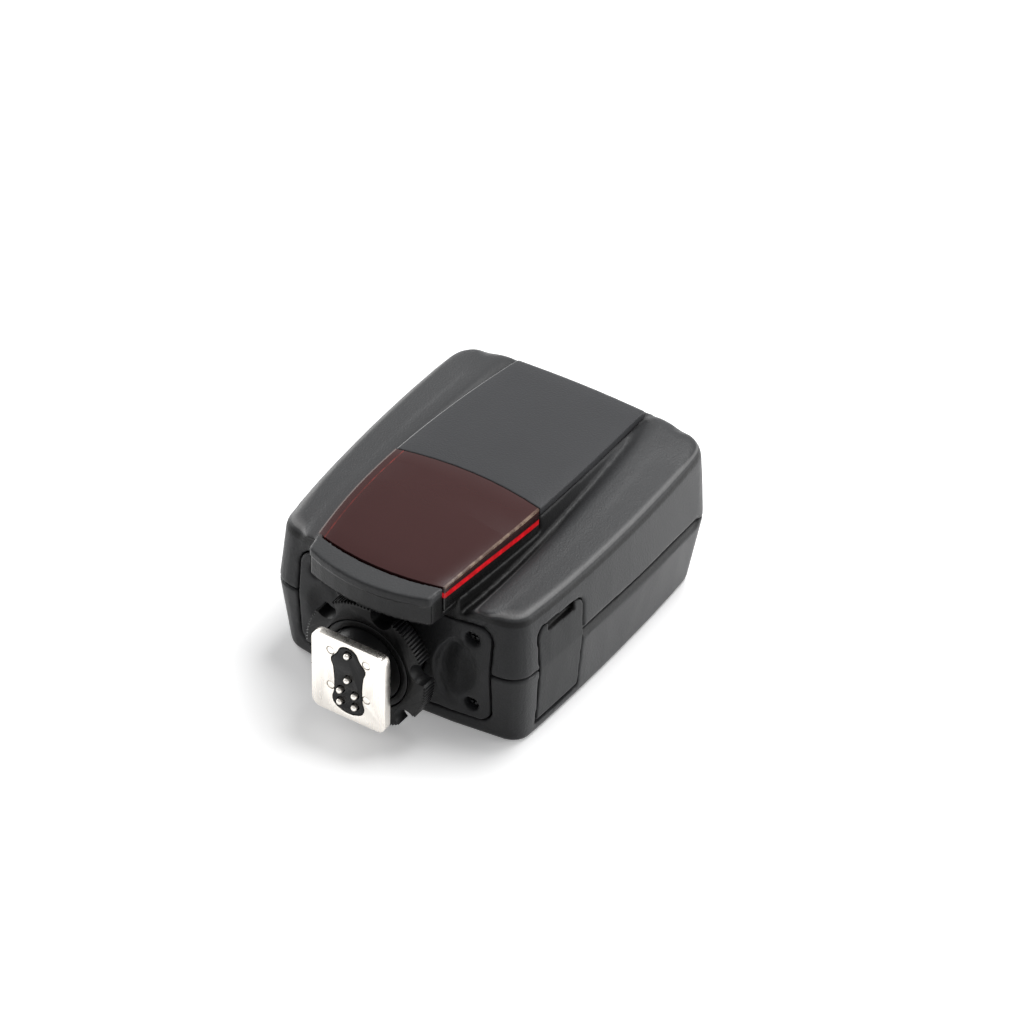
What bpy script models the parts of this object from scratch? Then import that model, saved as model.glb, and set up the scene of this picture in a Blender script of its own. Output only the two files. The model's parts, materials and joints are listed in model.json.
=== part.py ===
"""A wireless flash trigger with a hot-shoe foot, lying on its back.

X runs across the body, Y from the shoe foot to the far end, and Z from the back, where the display and
the keys are, up to the front with its red window. The origin is the bottom centre of the whole object.
"""

import math

import bmesh
import bpy
from mathutils import Matrix, Vector

MM = 0.001

# Casing
CASE_WIDTH = 66.4 * MM
CASE_LENGTH = 79.0 * MM
SEAM_HEIGHT = 17.6 * MM
WALL = 2.0 * MM
BACK_THICKNESS = 2.0 * MM
GAP = 0.3 * MM
CORNER_NEAR = 5.5 * MM
CORNER_FAR = 6.5 * MM
WIDEST_FROM_NEAR = 47.5 * MM
SEAM_BOW_RADIUS = 650.0 * MM
EDGE_BOW_RADIUS = 366.0 * MM
BASE_TUCK_NEAR_RIGHT = 0.6 * MM
BASE_TUCK_NEAR_LEFT = 2.2 * MM
BASE_TUCK_FAR = 2.5 * MM
NEAR_TUCK_BASE = 1.2 * MM
NEAR_TUCK_TOP = 1.3 * MM
FAR_TUCK_BASE = 2.0 * MM
FAR_TUCK_TOP = 1.4 * MM
NEAR_BOW = 2.3 * MM
FAR_BOW = 1.3 * MM
BOW_SPAN = 24.0 * MM
END_BLEND = 25.0 * MM
BASE_ROUND = 1.2 * MM
EDGE_ROUND = 2.0 * MM

# Front of the casing: shoulders, ridges beside the panel, and the panel's arch
EDGE_NEAR_HEIGHT = 32.3 * MM
EDGE_RISE = 4.5 * MM
RIDGE_STEP_NEAR = 0.3 * MM
RIDGE_STEP_FAR = 2.3 * MM
RIDGE_OFFSET = 2.7 * MM
RIDGE_END_DROP = 1.6 * MM
GROOVE_DEPTH_NEAR = 2.2 * MM
GROOVE_DEPTH_FAR = 0.6 * MM
PANEL_CROWN_HEIGHT = 41.4 * MM
PANEL_CROWN_FROM_NEAR = 20.0 * MM
PANEL_ARCH_NEAR = 169.0 * MM
PANEL_ARCH_FAR = 681.0 * MM
PANEL_HALF_WIDTH = 18.25 * MM
PANEL_WIDEST_FROM_NEAR = 31.9 * MM
PANEL_BOW_NEAR = 244.0 * MM
PANEL_BOW_FAR = 480.0 * MM
PANEL_THICKNESS = 2.0 * MM
PANEL_FAR_INSET = 3.9 * MM
PANEL_FAR_ROUND = 1.6 * MM
PLINTH_WALL = 4.4 * MM

# Red window and the lamps behind it
WINDOW_NEAR_REACH = 2.0 * MM
WINDOW_LENGTH = 31.4 * MM
WINDOW_NEAR_ARC = 2.2 * MM
WINDOW_FAR_ARC = 2.3 * MM
WINDOW_THICKNESS = 1.8 * MM
WINDOW_SKIRT = 6.0 * MM
LAMP_WIDTH = 21.0 * MM
LAMP_LENGTH = 15.4 * MM
LAMP_WALL = 1.2 * MM
LAMP_DEPTH = 7.0 * MM
LAMP_LIP = 1.2 * MM
LAMP_BEHIND_STEM = 0.8 * MM
LED_RADIUS = 1.5 * MM
LED_HEIGHT = 4.5 * MM
LED_SPACING = 12.0 * MM
BOARD_THICKNESS = 1.6 * MM

# Visor over the foot
VISOR_REACH = 6.5 * MM
VISOR_ARC = 2.75 * MM
VISOR_ABOVE_WHEEL = 1.0 * MM
VISOR_CORNER = 0.7 * MM

# Shoe foot
FOOT_REACH = 15.2 * MM
PIN_PROUD = 1.2 * MM
PLATE_WIDTH = 18.6 * MM
PLATE_HEIGHT = 20.0 * MM
PLATE_THICKNESS = 1.9 * MM
PLATE_CORNER = 2.0 * MM
PLATE_CENTRE_HEIGHT = 15.4 * MM
AXIS_ABOVE_PLATE_CENTRE = 0.7 * MM
RAIL_GAP = 4.2 * MM
NECK_WIDTH = 12.0 * MM
STEM_RADIUS = 8.8 * MM
STEM_FLANGE_RADIUS = 11.0 * MM
STEM_FLANGE_THICKNESS = 2.4 * MM
RING_RADIUS = 10.6 * MM
RING_THICKNESS = 1.5 * MM
WHEEL_RADIUS = 15.2 * MM
WHEEL_THICKNESS = 3.6 * MM
WHEEL_NOTCHES = 6
NOTCH_RADIUS = 2.7 * MM
NOTCH_CENTRE_INSET = 0.7 * MM
NOTCH_START = math.radians(14.0)
PIN_RADIUS = 0.7 * MM
PIN_LENGTH = 8.4 * MM
PIN_PLACES = ((0.0, 0.7), (-1.85, -2.75), (1.85, -2.75), (-1.85, -5.8), (1.85, -5.8))
LOCK_PIN_OFFSET = 7.2 * MM
PIN_BORE_DEPTH = 12.0 * MM
RIVET_RADIUS = 0.9 * MM
RIVET_LENGTH = 4.0 * MM
RIVET_FIT = 0.15 * MM
RIVET_PLACES = ((-4.5, 6.4), (4.5, 6.4), (-4.5, -2.9), (4.5, -2.9))

# Cover that carries the foot
COVER_SIDE_INSET = 9.0 * MM
COVER_HALF_WIDTH = CASE_WIDTH / 2 - COVER_SIDE_INSET
COVER_LOW = 4.0 * MM
COVER_HIGH = 28.5 * MM
COVER_CORNER = 3.0 * MM
COVER_DEPTH = 6.0 * MM
COVER_SCREW_INSET = 4.5 * MM
COVER_SCREW_X = COVER_HALF_WIDTH - COVER_SCREW_INSET
COVER_SCREW_LOW = 7.6 * MM
COVER_SCREW_HIGH = 25.1 * MM
SCREW_HEAD_RADIUS = 1.4 * MM
SCREW_HEAD_HEIGHT = 1.4 * MM
SCREW_SHANK_RADIUS = 0.9 * MM
SCREW_SEAT = 0.5 * MM
POST_DEPTH = 3.7 * MM
SCOOP_INSET = 7.2 * MM
SCOOP_X = COVER_HALF_WIDTH - SCOOP_INSET
SCOOP_HALF_WIDTH = 6.3 * MM
SCOOP_HALF_HEIGHT = 9.5 * MM
SCOOP_DEPTH = 1.9 * MM

# Side doors
DOOR_START_FROM_NEAR = 10.0 * MM
PORT_COVER_LENGTH = 15.0 * MM
BATTERY_DOOR_LENGTH = 32.5 * MM
DOOR_LOW = 2.5 * MM
DOOR_HIGH = 27.8 * MM
DOOR_CORNER = 2.5 * MM
DOOR_THICKNESS = 2.1 * MM
DOOR_BELOW_HINGE = 0.35 * MM
KNUCKLE_RADIUS = 1.6 * MM
KNUCKLE_SHY = 0.12 * MM
TRUNNION_RADIUS = 0.8 * MM
TRUNNION_LENGTH = 1.4 * MM
NOTCH_LENGTH = 9.0 * MM
NOTCH_HEIGHT = 2.0 * MM
NOTCH_DEPTH = 1.4 * MM

# Long finger groove along the seam
SIDE_GROOVE_HEIGHT = 3.2 * MM
SIDE_GROOVE_DEPTH = 0.8 * MM
SIDE_GROOVE_END_FROM_FAR = 7.1 * MM

# Case screws and their posts
POST_RADIUS = 3.0 * MM
CASE_POST_INSET = 7.2 * MM
CASE_POST_X = CASE_WIDTH / 2 - CASE_POST_INSET
CASE_POST_NEAR = 8.0 * MM
CASE_POST_FAR = 9.0 * MM
CASE_SCREW_HEAD = 2.0 * MM
CASE_SCREW_LENGTH = 22.0 * MM
CASE_SCREW_SUNK = 1.2 * MM

# Board, display and radio
BOARD_HEIGHT = 5.6 * MM
BOARD_SIDE_CLEARANCE = 6.2 * MM
BOARD_HALF_WIDTH = CASE_WIDTH / 2 - BOARD_SIDE_CLEARANCE
BOARD_FROM_NEAR = 12.0 * MM
BOARD_LENGTH = 54.0 * MM
STANDOFF_RADIUS = 2.0 * MM
STANDOFF_INSET = 2.8 * MM
LENS_WIDTH = 46.0 * MM
LENS_LENGTH = 24.0 * MM
LENS_THICKNESS = 1.2 * MM
LENS_CENTRE_FROM_NEAR = 53.0 * MM
LENS_LEDGE = 2.0 * MM
MODULE_SHY = 1.4 * MM
LENS_CORNER = 2.5 * MM
RADIO_WIDTH = 24.0 * MM
RADIO_LENGTH = 16.0 * MM
RADIO_HEIGHT = 3.0 * MM
ANTENNA_RADIUS = 1.6 * MM
ANTENNA_LENGTH = 16.0 * MM

# Keys on the back
KEY_SUNK = 0.3 * MM
KEY_TRAVEL = 0.6 * MM
KEY_FLANGE = 0.7 * MM
KEY_FLANGE_THICKNESS = 0.8 * MM
MENU_KEY_WIDTH = 8.0 * MM
MENU_KEY_LENGTH = 4.6 * MM
MENU_KEY_PITCH = 11.0 * MM
MENU_KEYS_FROM_NEAR = 36.0 * MM
PAD_CENTRE_FROM_NEAR = 21.5 * MM
PAD_REACH = 7.5 * MM
DOME_RADIUS = 1.6 * MM
DOME_SHEET_THICKNESS = 0.5 * MM
DOME_SHEET_MARGIN = 1.7 * MM
PAD_KEY = 5.0 * MM
OK_RADIUS = 3.0 * MM
TEST_INSET = 13.2 * MM
TEST_X = CASE_WIDTH / 2 - TEST_INSET
TEST_RADIUS = 3.4 * MM
SWITCH_INSET = 13.2 * MM
SWITCH_X = CASE_WIDTH / 2 - SWITCH_INSET
SWITCH_KNOB = 4.0 * MM
SWITCH_TRAVEL = 4.0 * MM
LIGHT_RADIUS = 1.2 * MM
LIGHT_FROM_TEST = 7.0 * MM

# Battery cells and sockets
CELL_RADIUS = 5.15 * MM
CELL_END_ROOM = 23.1 * MM
CELL_LENGTH = CASE_WIDTH - CELL_END_ROOM
CELL_NUB_RADIUS = 1.9 * MM
CELL_NUB_LENGTH = 1.0 * MM
TRAY_WALL = 1.0 * MM
CELL_SPRING_LENGTH = 3.0 * MM
CELL_SPRING_RADIUS = 2.8 * MM
CONTACT_THICKNESS = 0.5 * MM
SOCKET_LENGTH = 3.6 * MM
SYNC_RADIUS = 3.4 * MM
JACK_HALF = 2.6 * MM

NEAR_Y = (FOOT_REACH - CASE_LENGTH) / 2
FAR_Y = NEAR_Y + CASE_LENGTH
WIDEST_Y = NEAR_Y + WIDEST_FROM_NEAR
PLATE_FRONT_Y = NEAR_Y - FOOT_REACH + PIN_PROUD
PLATE_BACK_Y = PLATE_FRONT_Y + PLATE_THICKNESS
WHEEL_FRONT_Y = PLATE_BACK_Y + RAIL_GAP
AXIS_HEIGHT = PLATE_CENTRE_HEIGHT + AXIS_ABOVE_PLATE_CENTRE
COVER_BACK_Y = NEAR_Y + COVER_DEPTH
DOOR_START_Y = NEAR_Y + DOOR_START_FROM_NEAR
HINGE_HEIGHT = DOOR_LOW + KNUCKLE_RADIUS
BOARD_TOP = BOARD_HEIGHT + BOARD_THICKNESS
BOARD_START_Y = NEAR_Y + BOARD_FROM_NEAR
TRAY_FLOOR = BOARD_TOP + GAP
CELL_AXIS_HEIGHT = TRAY_FLOOR + TRAY_WALL + GAP + CELL_RADIUS
CELL_PITCH = 2 * CELL_RADIUS + 2 * GAP + TRAY_WALL
WINDOW_START_Y = NEAR_Y - WINDOW_NEAR_REACH
WINDOW_END_Y = WINDOW_START_Y + WINDOW_LENGTH
LENS_Y = NEAR_Y + LENS_CENTRE_FROM_NEAR
PAD_Y = NEAR_Y + PAD_CENTRE_FROM_NEAR


def mix(a, b, t):
    return a + (b - a) * t


def clamp(t, low=0.0, high=1.0):
    return max(low, min(high, t))


def along(y):
    """Share of the casing's length at y."""
    return (y - NEAR_Y) / CASE_LENGTH


def edge_height(y):
    """Height of the shoulders' outer edge."""
    return EDGE_NEAR_HEIGHT + EDGE_RISE * along(y)


def ridge_height(y):
    """Height of the rolled ridge beside the panel."""
    return edge_height(y) + mix(RIDGE_STEP_NEAR, RIDGE_STEP_FAR, along(y))


def groove_height(y):
    """Floor of the valley between ridge and panel."""
    return ridge_height(y) - mix(GROOVE_DEPTH_NEAR, GROOVE_DEPTH_FAR, along(y))


def panel_height(y):
    """Top of the arched panel."""
    run = y - (NEAR_Y + PANEL_CROWN_FROM_NEAR)
    return PANEL_CROWN_HEIGHT - run * run / (2 * (PANEL_ARCH_NEAR if run < 0 else PANEL_ARCH_FAR))


def panel_half(y):
    """Half-width of the panel."""
    run = y - (NEAR_Y + PANEL_WIDEST_FROM_NEAR)
    return PANEL_HALF_WIDTH - run * run / (2 * (PANEL_BOW_NEAR if run < 0 else PANEL_BOW_FAR))


def seam_half(y):
    return CASE_WIDTH / 2 - (y - WIDEST_Y) ** 2 / (2 * SEAM_BOW_RADIUS)


def edge_half(y):
    return CASE_WIDTH / 2 - (y - WIDEST_Y) ** 2 / (2 * EDGE_BOW_RADIUS)


def side_half(y, z, side):
    """Half-width of the casing on one side, at a place along it and a height."""
    if z < SEAM_HEIGHT:
        near = BASE_TUCK_NEAR_LEFT if side < 0 else BASE_TUCK_NEAR_RIGHT
        tuck = mix(near, BASE_TUCK_FAR, along(y))
        return seam_half(y) - tuck * (1 - z / SEAM_HEIGHT)
    rise = clamp((z - SEAM_HEIGHT) / (edge_height(y) - SEAM_HEIGHT))
    return mix(seam_half(y), edge_half(y), rise)


def end_tuck(z, base, top):
    """How far an end face leans in at a height."""
    if z < SEAM_HEIGHT:
        return base * (1 - z / SEAM_HEIGHT)
    return top * (z - SEAM_HEIGHT) / (EDGE_NEAR_HEIGHT - SEAM_HEIGHT)


def bow(x):
    """Share of an end face's bow, which stops growing at the corners."""
    return min(abs(x) / BOW_SPAN, 1.0) ** 2


def near_face(x, z):
    return NEAR_Y + NEAR_BOW * bow(x) + end_tuck(z, NEAR_TUCK_BASE, NEAR_TUCK_TOP)


def far_face(x, z):
    return FAR_Y - FAR_BOW * bow(x) - end_tuck(z, FAR_TUCK_BASE, FAR_TUCK_TOP)


def shoulder_height(x, y):
    """Front surface of the shoulders, from the outer edge up to the ridge."""
    outer = edge_half(y)
    inner = panel_half(y) + RIDGE_OFFSET
    return mix(edge_height(y), ridge_height(y), clamp((outer - abs(x)) / (outer - inner)))


def plinth_height(y):
    """Top of the block that carries the panel."""
    return panel_height(y) - PANEL_THICKNESS - GAP


def clear_scene():
    for item in list(bpy.data.objects):
        bpy.data.objects.remove(item)


def collection(name):
    group = bpy.data.collections.new(name)
    bpy.context.scene.collection.children.link(group)
    return group


def material(name, colour, roughness, metallic=0.0, alpha=1.0):
    finish = bpy.data.materials.new(name)
    finish.use_nodes = True
    shader = finish.node_tree.nodes["Principled BSDF"]
    shader.inputs["Base Color"].default_value = (*colour, 1.0)
    shader.inputs["Roughness"].default_value = roughness
    shader.inputs["Metallic"].default_value = metallic
    shader.inputs["Alpha"].default_value = alpha
    return finish


clear_scene()
PARTS = collection("flash_trigger")
CUTTERS = collection("cutters")

CASE_BLACK = material("case_black", (0.035, 0.036, 0.038), 0.55)
SOFT_BLACK = material("soft_black", (0.02, 0.02, 0.021), 0.45)
WINDOW_RED = material("window_red", (0.12, 0.012, 0.012), 0.15, alpha=0.6)
NICKEL = material("nickel", (0.78, 0.74, 0.68), 0.25, metallic=1.0)
STEEL = material("steel", (0.55, 0.55, 0.56), 0.3, metallic=1.0)
BOARD_GREEN = material("board_green", (0.02, 0.12, 0.05), 0.5)
LENS_DARK = material("lens_dark", (0.02, 0.025, 0.022), 0.1)
DISPLAY_GREY = material("display_grey", (0.32, 0.38, 0.28), 0.4)
KEY_GREY = material("key_grey", (0.06, 0.06, 0.065), 0.6)
CELL_SLEEVE = material("cell_sleeve", (0.25, 0.26, 0.28), 0.35)
LED_CLEAR = material("led_clear", (0.6, 0.1, 0.08), 0.1)
LIGHT_CLEAR = material("light_clear", (0.7, 0.7, 0.68), 0.2)
GOLD = material("gold", (0.8, 0.6, 0.25), 0.3, metallic=1.0)


def finish_object(name, bm, finish=None, smooth=0.6):
    """Turns a bmesh into an object: a part if it has a finish, and a cutter otherwise."""
    bm.normal_update()
    bent = [face for face in bm.faces if not is_flat(face)]
    bmesh.ops.triangulate(bm, faces=bent)
    bmesh.ops.recalc_face_normals(bm, faces=bm.faces)
    if bm.calc_volume(signed=True) < 0:
        bmesh.ops.reverse_faces(bm, faces=bm.faces)
    mesh = bpy.data.meshes.new(name)
    bm.to_mesh(mesh)
    bm.free()
    item = bpy.data.objects.new(name, mesh)
    if finish is None:
        item.hide_render = True
        item.display_type = "WIRE"
        CUTTERS.objects.link(item)
        return item
    mesh.shade_smooth()
    mesh.set_sharp_from_angle(angle=smooth)
    mesh.materials.append(finish)
    PARTS.objects.link(item)
    return item


def is_flat(face):
    corner = face.verts[0].co
    return all(abs((vert.co - corner).dot(face.normal)) < 1e-8 for vert in face.verts)


def boolean(item, other, operation):
    modifier = item.modifiers.new(operation.lower(), "BOOLEAN")
    modifier.operation = operation
    modifier.solver = "EXACT"
    modifier.object = other
    return item


def cut(item, *others):
    for other in others:
        boolean(item, other, "DIFFERENCE")
    return item


def join(item, *others):
    for other in others:
        boolean(item, other, "UNION")
    return item


def divide(bm, axis, places):
    """Cuts the mesh into strips at places along an axis."""
    for place in places:
        point = Vector((0, 0, 0))
        point[axis] = place
        normal = Vector((0, 0, 0))
        normal[axis] = 1
        geometry = bm.verts[:] + bm.edges[:] + bm.faces[:]
        bmesh.ops.bisect_plane(bm, geom=geometry, dist=1e-7, plane_co=point, plane_no=normal)


def grid_box(counts, shape):
    """A cube divided into counts cells each way, with every point moved by shape(u, v, w)."""
    bm = bmesh.new()
    bmesh.ops.create_cube(bm, size=1, matrix=Matrix.Translation((0.5, 0.5, 0.5)))
    for axis, count in enumerate(counts):
        divide(bm, axis, [step / count for step in range(1, count)])
    for vert in bm.verts:
        vert.co = shape(*vert.co)
    return bm


def add_box(bm, low, high, rounded_axis=None, radius=0.0, segments=4):
    """Adds a box from corner to corner, with the edges along one axis rounded."""
    low, high = Vector(low), Vector(high)
    made = bmesh.ops.create_cube(bm, size=1)["verts"]
    for vert in made:
        vert.co = Vector(mix(low[k], high[k], vert.co[k] + 0.5) for k in range(3))
    if rounded_axis is not None and radius > 0:
        round_edges(bm, lambda a, b: runs_along(a, b, rounded_axis), radius, segments, made)
    return bm


def runs_along(a, b, axis):
    step = b - a
    return abs(step[axis]) > 0.999 * step.length


def round_edges(bm, wanted, radius, segments, among=None):
    """Rounds the edges that wanted(a, b) picks by their end points."""
    pool = set(among) if among is not None else None
    edges = [
        edge
        for edge in bm.edges
        if (pool is None or edge.verts[0] in pool) and wanted(edge.verts[0].co, edge.verts[1].co)
    ]
    bmesh.ops.bevel(
        bm,
        geom=edges,
        offset=radius,
        offset_type="OFFSET",
        segments=segments,
        profile=0.5,
        affect="EDGES",
        clamp_overlap=True,
    )


def box(low, high, rounded_axis=None, radius=0.0, segments=4):
    return add_box(bmesh.new(), low, high, rounded_axis, radius, segments)


AXIS_TURNS = (Matrix.Rotation(math.pi / 2, 4, "Y"), Matrix.Rotation(-math.pi / 2, 4, "X"), Matrix.Identity(4))


def add_rod(bm, axis, start, length, radius, sides=16, end_radius=None):
    """Adds a cylinder or cone from a start point along +axis."""
    direction = Vector((0, 0, 0))
    direction[axis] = 1
    middle = Vector(start) + direction * (length / 2)
    bmesh.ops.create_cone(
        bm,
        cap_ends=True,
        segments=sides,
        radius1=radius,
        radius2=radius if end_radius is None else end_radius,
        depth=length,
        matrix=Matrix.Translation(middle) @ AXIS_TURNS[axis],
    )
    return bm


def rod(axis, start, length, radius, sides=16, end_radius=None):
    return add_rod(bmesh.new(), axis, start, length, radius, sides, end_radius)


def turned(axis, centre, profile, sides=24):
    """A solid turned about an axis through centre, from (place along the axis, radius) pairs."""
    spine = [Vector((radius, 0, place)) for place, radius in profile]
    bm = bmesh.new()
    verts = [bm.verts.new(point) for point in spine]
    for a, b in zip(verts, verts[1:]):
        bm.edges.new((a, b))
    bmesh.ops.spin(
        bm,
        geom=bm.verts[:] + bm.edges[:],
        cent=(0, 0, 0),
        axis=(0, 0, 1),
        angle=2 * math.pi,
        steps=sides,
        use_merge=True,
    )
    bmesh.ops.remove_doubles(bm, verts=bm.verts, dist=1e-6)
    bm.transform(Matrix.Translation(centre) @ AXIS_TURNS[axis])
    return bm


def casing(inset, low, high, roof=None, corner_segments=5, rim=None):
    """A closed block with the casing's outline, drawn in by inset.

    Its top is flat at high, or follows the front surface at a depth of roof below it.
    The outline's edge is rounded at the "base" or the "top" where rim names one of them.
    """
    half = CASE_WIDTH / 2 - inset
    bm = box((-half, NEAR_Y + inset, low), (half, FAR_Y - inset, high))
    for corner, radius in ((NEAR_Y + inset, CORNER_NEAR), (FAR_Y - inset, CORNER_FAR)):
        round_edges(
            bm,
            lambda a, b: runs_along(a, b, 2) and abs(a.y - corner) < 1e-6,
            max(radius - inset, 1.0 * MM),
            corner_segments,
        )
    stations = 10
    start = NEAR_Y + max(CORNER_NEAR, inset)
    stop = FAR_Y - max(CORNER_FAR, inset)
    divide(bm, 1, [mix(start, stop, k / (stations - 1)) for k in range(stations)])
    if low < SEAM_HEIGHT < high:
        divide(bm, 2, [SEAM_HEIGHT])
    shaped = roof is not None
    right = front_lines(roof) if shaped else [half / 2]
    divide(bm, 0, [-line for line in right] + [0.0] + right)
    level = low if rim == "base" else high
    rounded = rim_edges(bm, level, RIDGE_LINE if shaped else 0.0) if rim else []
    for vert in bm.verts:
        x, y, z = vert.co
        on_top = shaped and z > high - 1e-6
        new_x = x * (side_half(y, edge_height(y) if on_top else z, x) - inset) / half
        near = clamp(1 - (y - NEAR_Y - inset) / END_BLEND) ** 2
        far = clamp(1 - (FAR_Y - inset - y) / END_BLEND) ** 2
        if on_top:
            new_x, new_z = front_point(x, new_x, y, roof)
        else:
            new_z = z
        shift = near * (near_face(new_x, new_z) - NEAR_Y) + far * (far_face(new_x, new_z) - FAR_Y)
        vert.co = (new_x, y + shift, new_z)
    if rounded:
        radius = BASE_ROUND if rim == "base" else EDGE_ROUND
        bmesh.ops.bevel(
            bm, geom=rounded, offset=radius, offset_type="OFFSET", segments=3, profile=0.5, affect="EDGES"
        )
    return bm


def rim_edges(bm, level, beyond):
    """Edges round the block's outline at a level, from a nominal distance off the middle outwards."""
    bm.normal_update()
    return [
        edge
        for edge in bm.edges
        if all(abs(vert.co.z - level) < 1e-6 and abs(vert.co.x) > beyond - 1e-6 for vert in edge.verts)
        and any(abs(face.normal.z) < 0.5 for face in edge.link_faces)
    ]


# Nominal lines across the front, from the middle out: plinth edge, valley, ridge and mid-shoulder
PLINTH_LINE = 15.0 * MM
VALLEY_INNER_LINE = 16.0 * MM
VALLEY_OUTER_LINE = 17.5 * MM
RIDGE_LINE = 20.0 * MM
VALLEY_STEP = 0.35 * MM
VALLEY_WIDTH = 1.0 * MM


def front_lines(roof):
    """Places of those lines, for the surface itself or for the hollow at a depth of roof."""
    drop = PLINTH_WALL - MM if roof else 0.0
    lines = [PLINTH_LINE - drop, VALLEY_INNER_LINE - drop, VALLEY_OUTER_LINE - drop, RIDGE_LINE]
    return [lines[0] / 2] + lines


def front_point(line, x, y, roof):
    """Where a point of a line lies across and up the front surface, at a depth of roof below it."""
    side = math.copysign(1.0, line)
    line = abs(line)
    _, plinth, valley_inner, valley_outer, ridge = front_lines(roof)
    half = panel_half(y) + GAP * clamp((groove_height(y) - plinth_height(y)) / MM + 0.5)
    half -= PLINTH_WALL if roof else 0.0
    if line < plinth + 1e-6:
        return side * line / plinth * half, plinth_height(y) - roof
    drop = roof + (RIDGE_END_DROP if y > FAR_Y - roof - 1e-6 else 0.0)
    if line < valley_inner + 1e-6:
        return side * (half + VALLEY_STEP), groove_height(y) - drop
    if line < valley_outer + 1e-6:
        return side * (half + VALLEY_STEP + VALLEY_WIDTH), groove_height(y) - drop
    if line < ridge + 1e-6:
        return side * (panel_half(y) + RIDGE_OFFSET), ridge_height(y) - drop
    return x, shoulder_height(x, y) - roof


def window_block(grow, name):
    """The window's inverted channel, grown by grow for the pocket that holds it."""

    def place(u, v, w, half_drop, top_drop, spare):
        y = mix(WINDOW_START_Y - grow - spare, WINDOW_END_Y + grow + spare, v)
        half = panel_half(y) - half_drop
        x = mix(-half, half, u)
        bulge = mix(-WINDOW_NEAR_ARC, WINDOW_FAR_ARC, v) * (1 - (x / half) ** 2)
        return x, y + bulge, top_drop(y, w)

    def outer(u, v, w):
        return place(u, v, w, -grow, lambda y, t: panel_height(y) + grow - (1 - t) * (WINDOW_SKIRT + 2 * grow), 0)

    def inner(u, v, w):
        roof = WINDOW_THICKNESS + grow
        return place(
            u,
            v,
            w,
            WINDOW_THICKNESS + grow,
            lambda y, t: panel_height(y) - roof - (1 - t) * (WINDOW_SKIRT + 2 * MM),
            2 * MM,
        )

    hollow = finish_object(name + "_hollow", grid_box((8, 8, 1), inner))
    block = finish_object(name, grid_box((8, 8, 1), outer), WINDOW_RED if grow == 0 else None)
    return cut(block, hollow)


def foot_point(place, y):
    """A point of the foot's face, from its place across and up from the plate's centre in millimetres."""
    across, up = place
    return Vector((across * MM, y, PLATE_CENTRE_HEIGHT + up * MM))


# Half of the insulator's outline: distance from the middle and height from the plate's centre, in millimetres
INSULATOR_HALF = ((1.5, 8.4), (2.9, 6.2), (4.2, 4.4), (3.6, 2.2), (3.45, -3.6), (3.9, -6.0), (2.6, -7.7))


def insulator_solid(name, start_y, depth, grow, finish=None):
    """The keyhole-shaped insulator as a filled curve, made a mesh."""
    curve = bpy.data.curves.new(name, "CURVE")
    curve.dimensions = "2D"
    curve.fill_mode = "BOTH"
    curve.extrude = depth / 2
    curve.resolution_u = 4
    points = [(x, z) for x, z in INSULATOR_HALF] + [(-x, z) for x, z in reversed(INSULATOR_HALF)]
    spline = curve.splines.new("BEZIER")
    spline.bezier_points.add(len(points) - 1)
    spline.use_cyclic_u = True
    for knot, (x, z) in zip(spline.bezier_points, points):
        step = math.hypot(x, z)
        knot.co = (x * MM + grow * x / step, z * MM + grow * z / step, 0)
        knot.handle_left_type = "AUTO"
        knot.handle_right_type = "AUTO"
    guide = bpy.data.objects.new(name + "_guide", curve)
    PARTS.objects.link(guide)
    guide.matrix_world = Matrix.Translation((0, start_y + depth / 2, PLATE_CENTRE_HEIGHT)) @ Matrix.Rotation(
        math.pi / 2, 4, "X"
    )
    bpy.context.view_layer.update()
    evaluated = guide.evaluated_get(bpy.context.evaluated_depsgraph_get())
    mesh = bpy.data.meshes.new_from_object(evaluated)
    bm = bmesh.new()
    bm.from_mesh(mesh)
    bm.transform(guide.matrix_world)
    bmesh.ops.remove_doubles(bm, verts=bm.verts, dist=1e-6)
    bpy.data.objects.remove(guide)
    bpy.data.meshes.remove(mesh)
    return finish_object(name, bm, finish)


def hinge_line(y, length, side):
    """Distance of a door's hinge axis from the middle: straight, and following the casing's bow end to end."""
    start, stop = DOOR_START_Y, DOOR_START_Y + length
    near, far = side_half(start, HINGE_HEIGHT, side), side_half(stop, HINGE_HEIGHT, side)
    return mix(near, far, (y - start) / length) - KNUCKLE_RADIUS


def on_hinge(name, bm, side, length, finish=None):
    """Puts a shape, drawn with X as the distance out from the hinge axis, in its place on one side."""
    for vert in bm.verts:
        vert.co.x = side * (vert.co.x + hinge_line(vert.co.y, length, side))
    return finish_object(name, bm, finish)


def flap_box(low, high, radius):
    """A box with its two upper corners rounded."""
    bm = box(low, high)
    round_edges(bm, lambda a, b: runs_along(a, b, 0) and a.z > high[2] - 1e-6, radius, 4)
    return bm


def side_door(name, side, length):
    """A flap in the side wall, with its hinge knuckle along the lower edge."""
    start, stop = DOOR_START_Y, DOOR_START_Y + length
    low = (KNUCKLE_RADIUS - DOOR_THICKNESS, start, HINGE_HEIGHT - DOOR_BELOW_HINGE)
    shape = flap_box(low, (CASE_WIDTH / 4, stop, DOOR_HIGH), DOOR_CORNER)
    door = on_hinge(name, shape, side, length, CASE_BLACK)
    boolean(door, CASING_FORM, "INTERSECT")
    knuckle = rod(1, (0, start + GAP, HINGE_HEIGHT), length - 2 * GAP, KNUCKLE_RADIUS - KNUCKLE_SHY, 16)
    join(door, on_hinge(name + "_knuckle", knuckle, side, length))
    pin_length = length + 2 * TRUNNION_LENGTH
    pin = rod(1, (0, start - TRUNNION_LENGTH, HINGE_HEIGHT), pin_length, TRUNNION_RADIUS, 12)
    return join(door, on_hinge(name + "_trunnion", pin, side, length))


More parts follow.
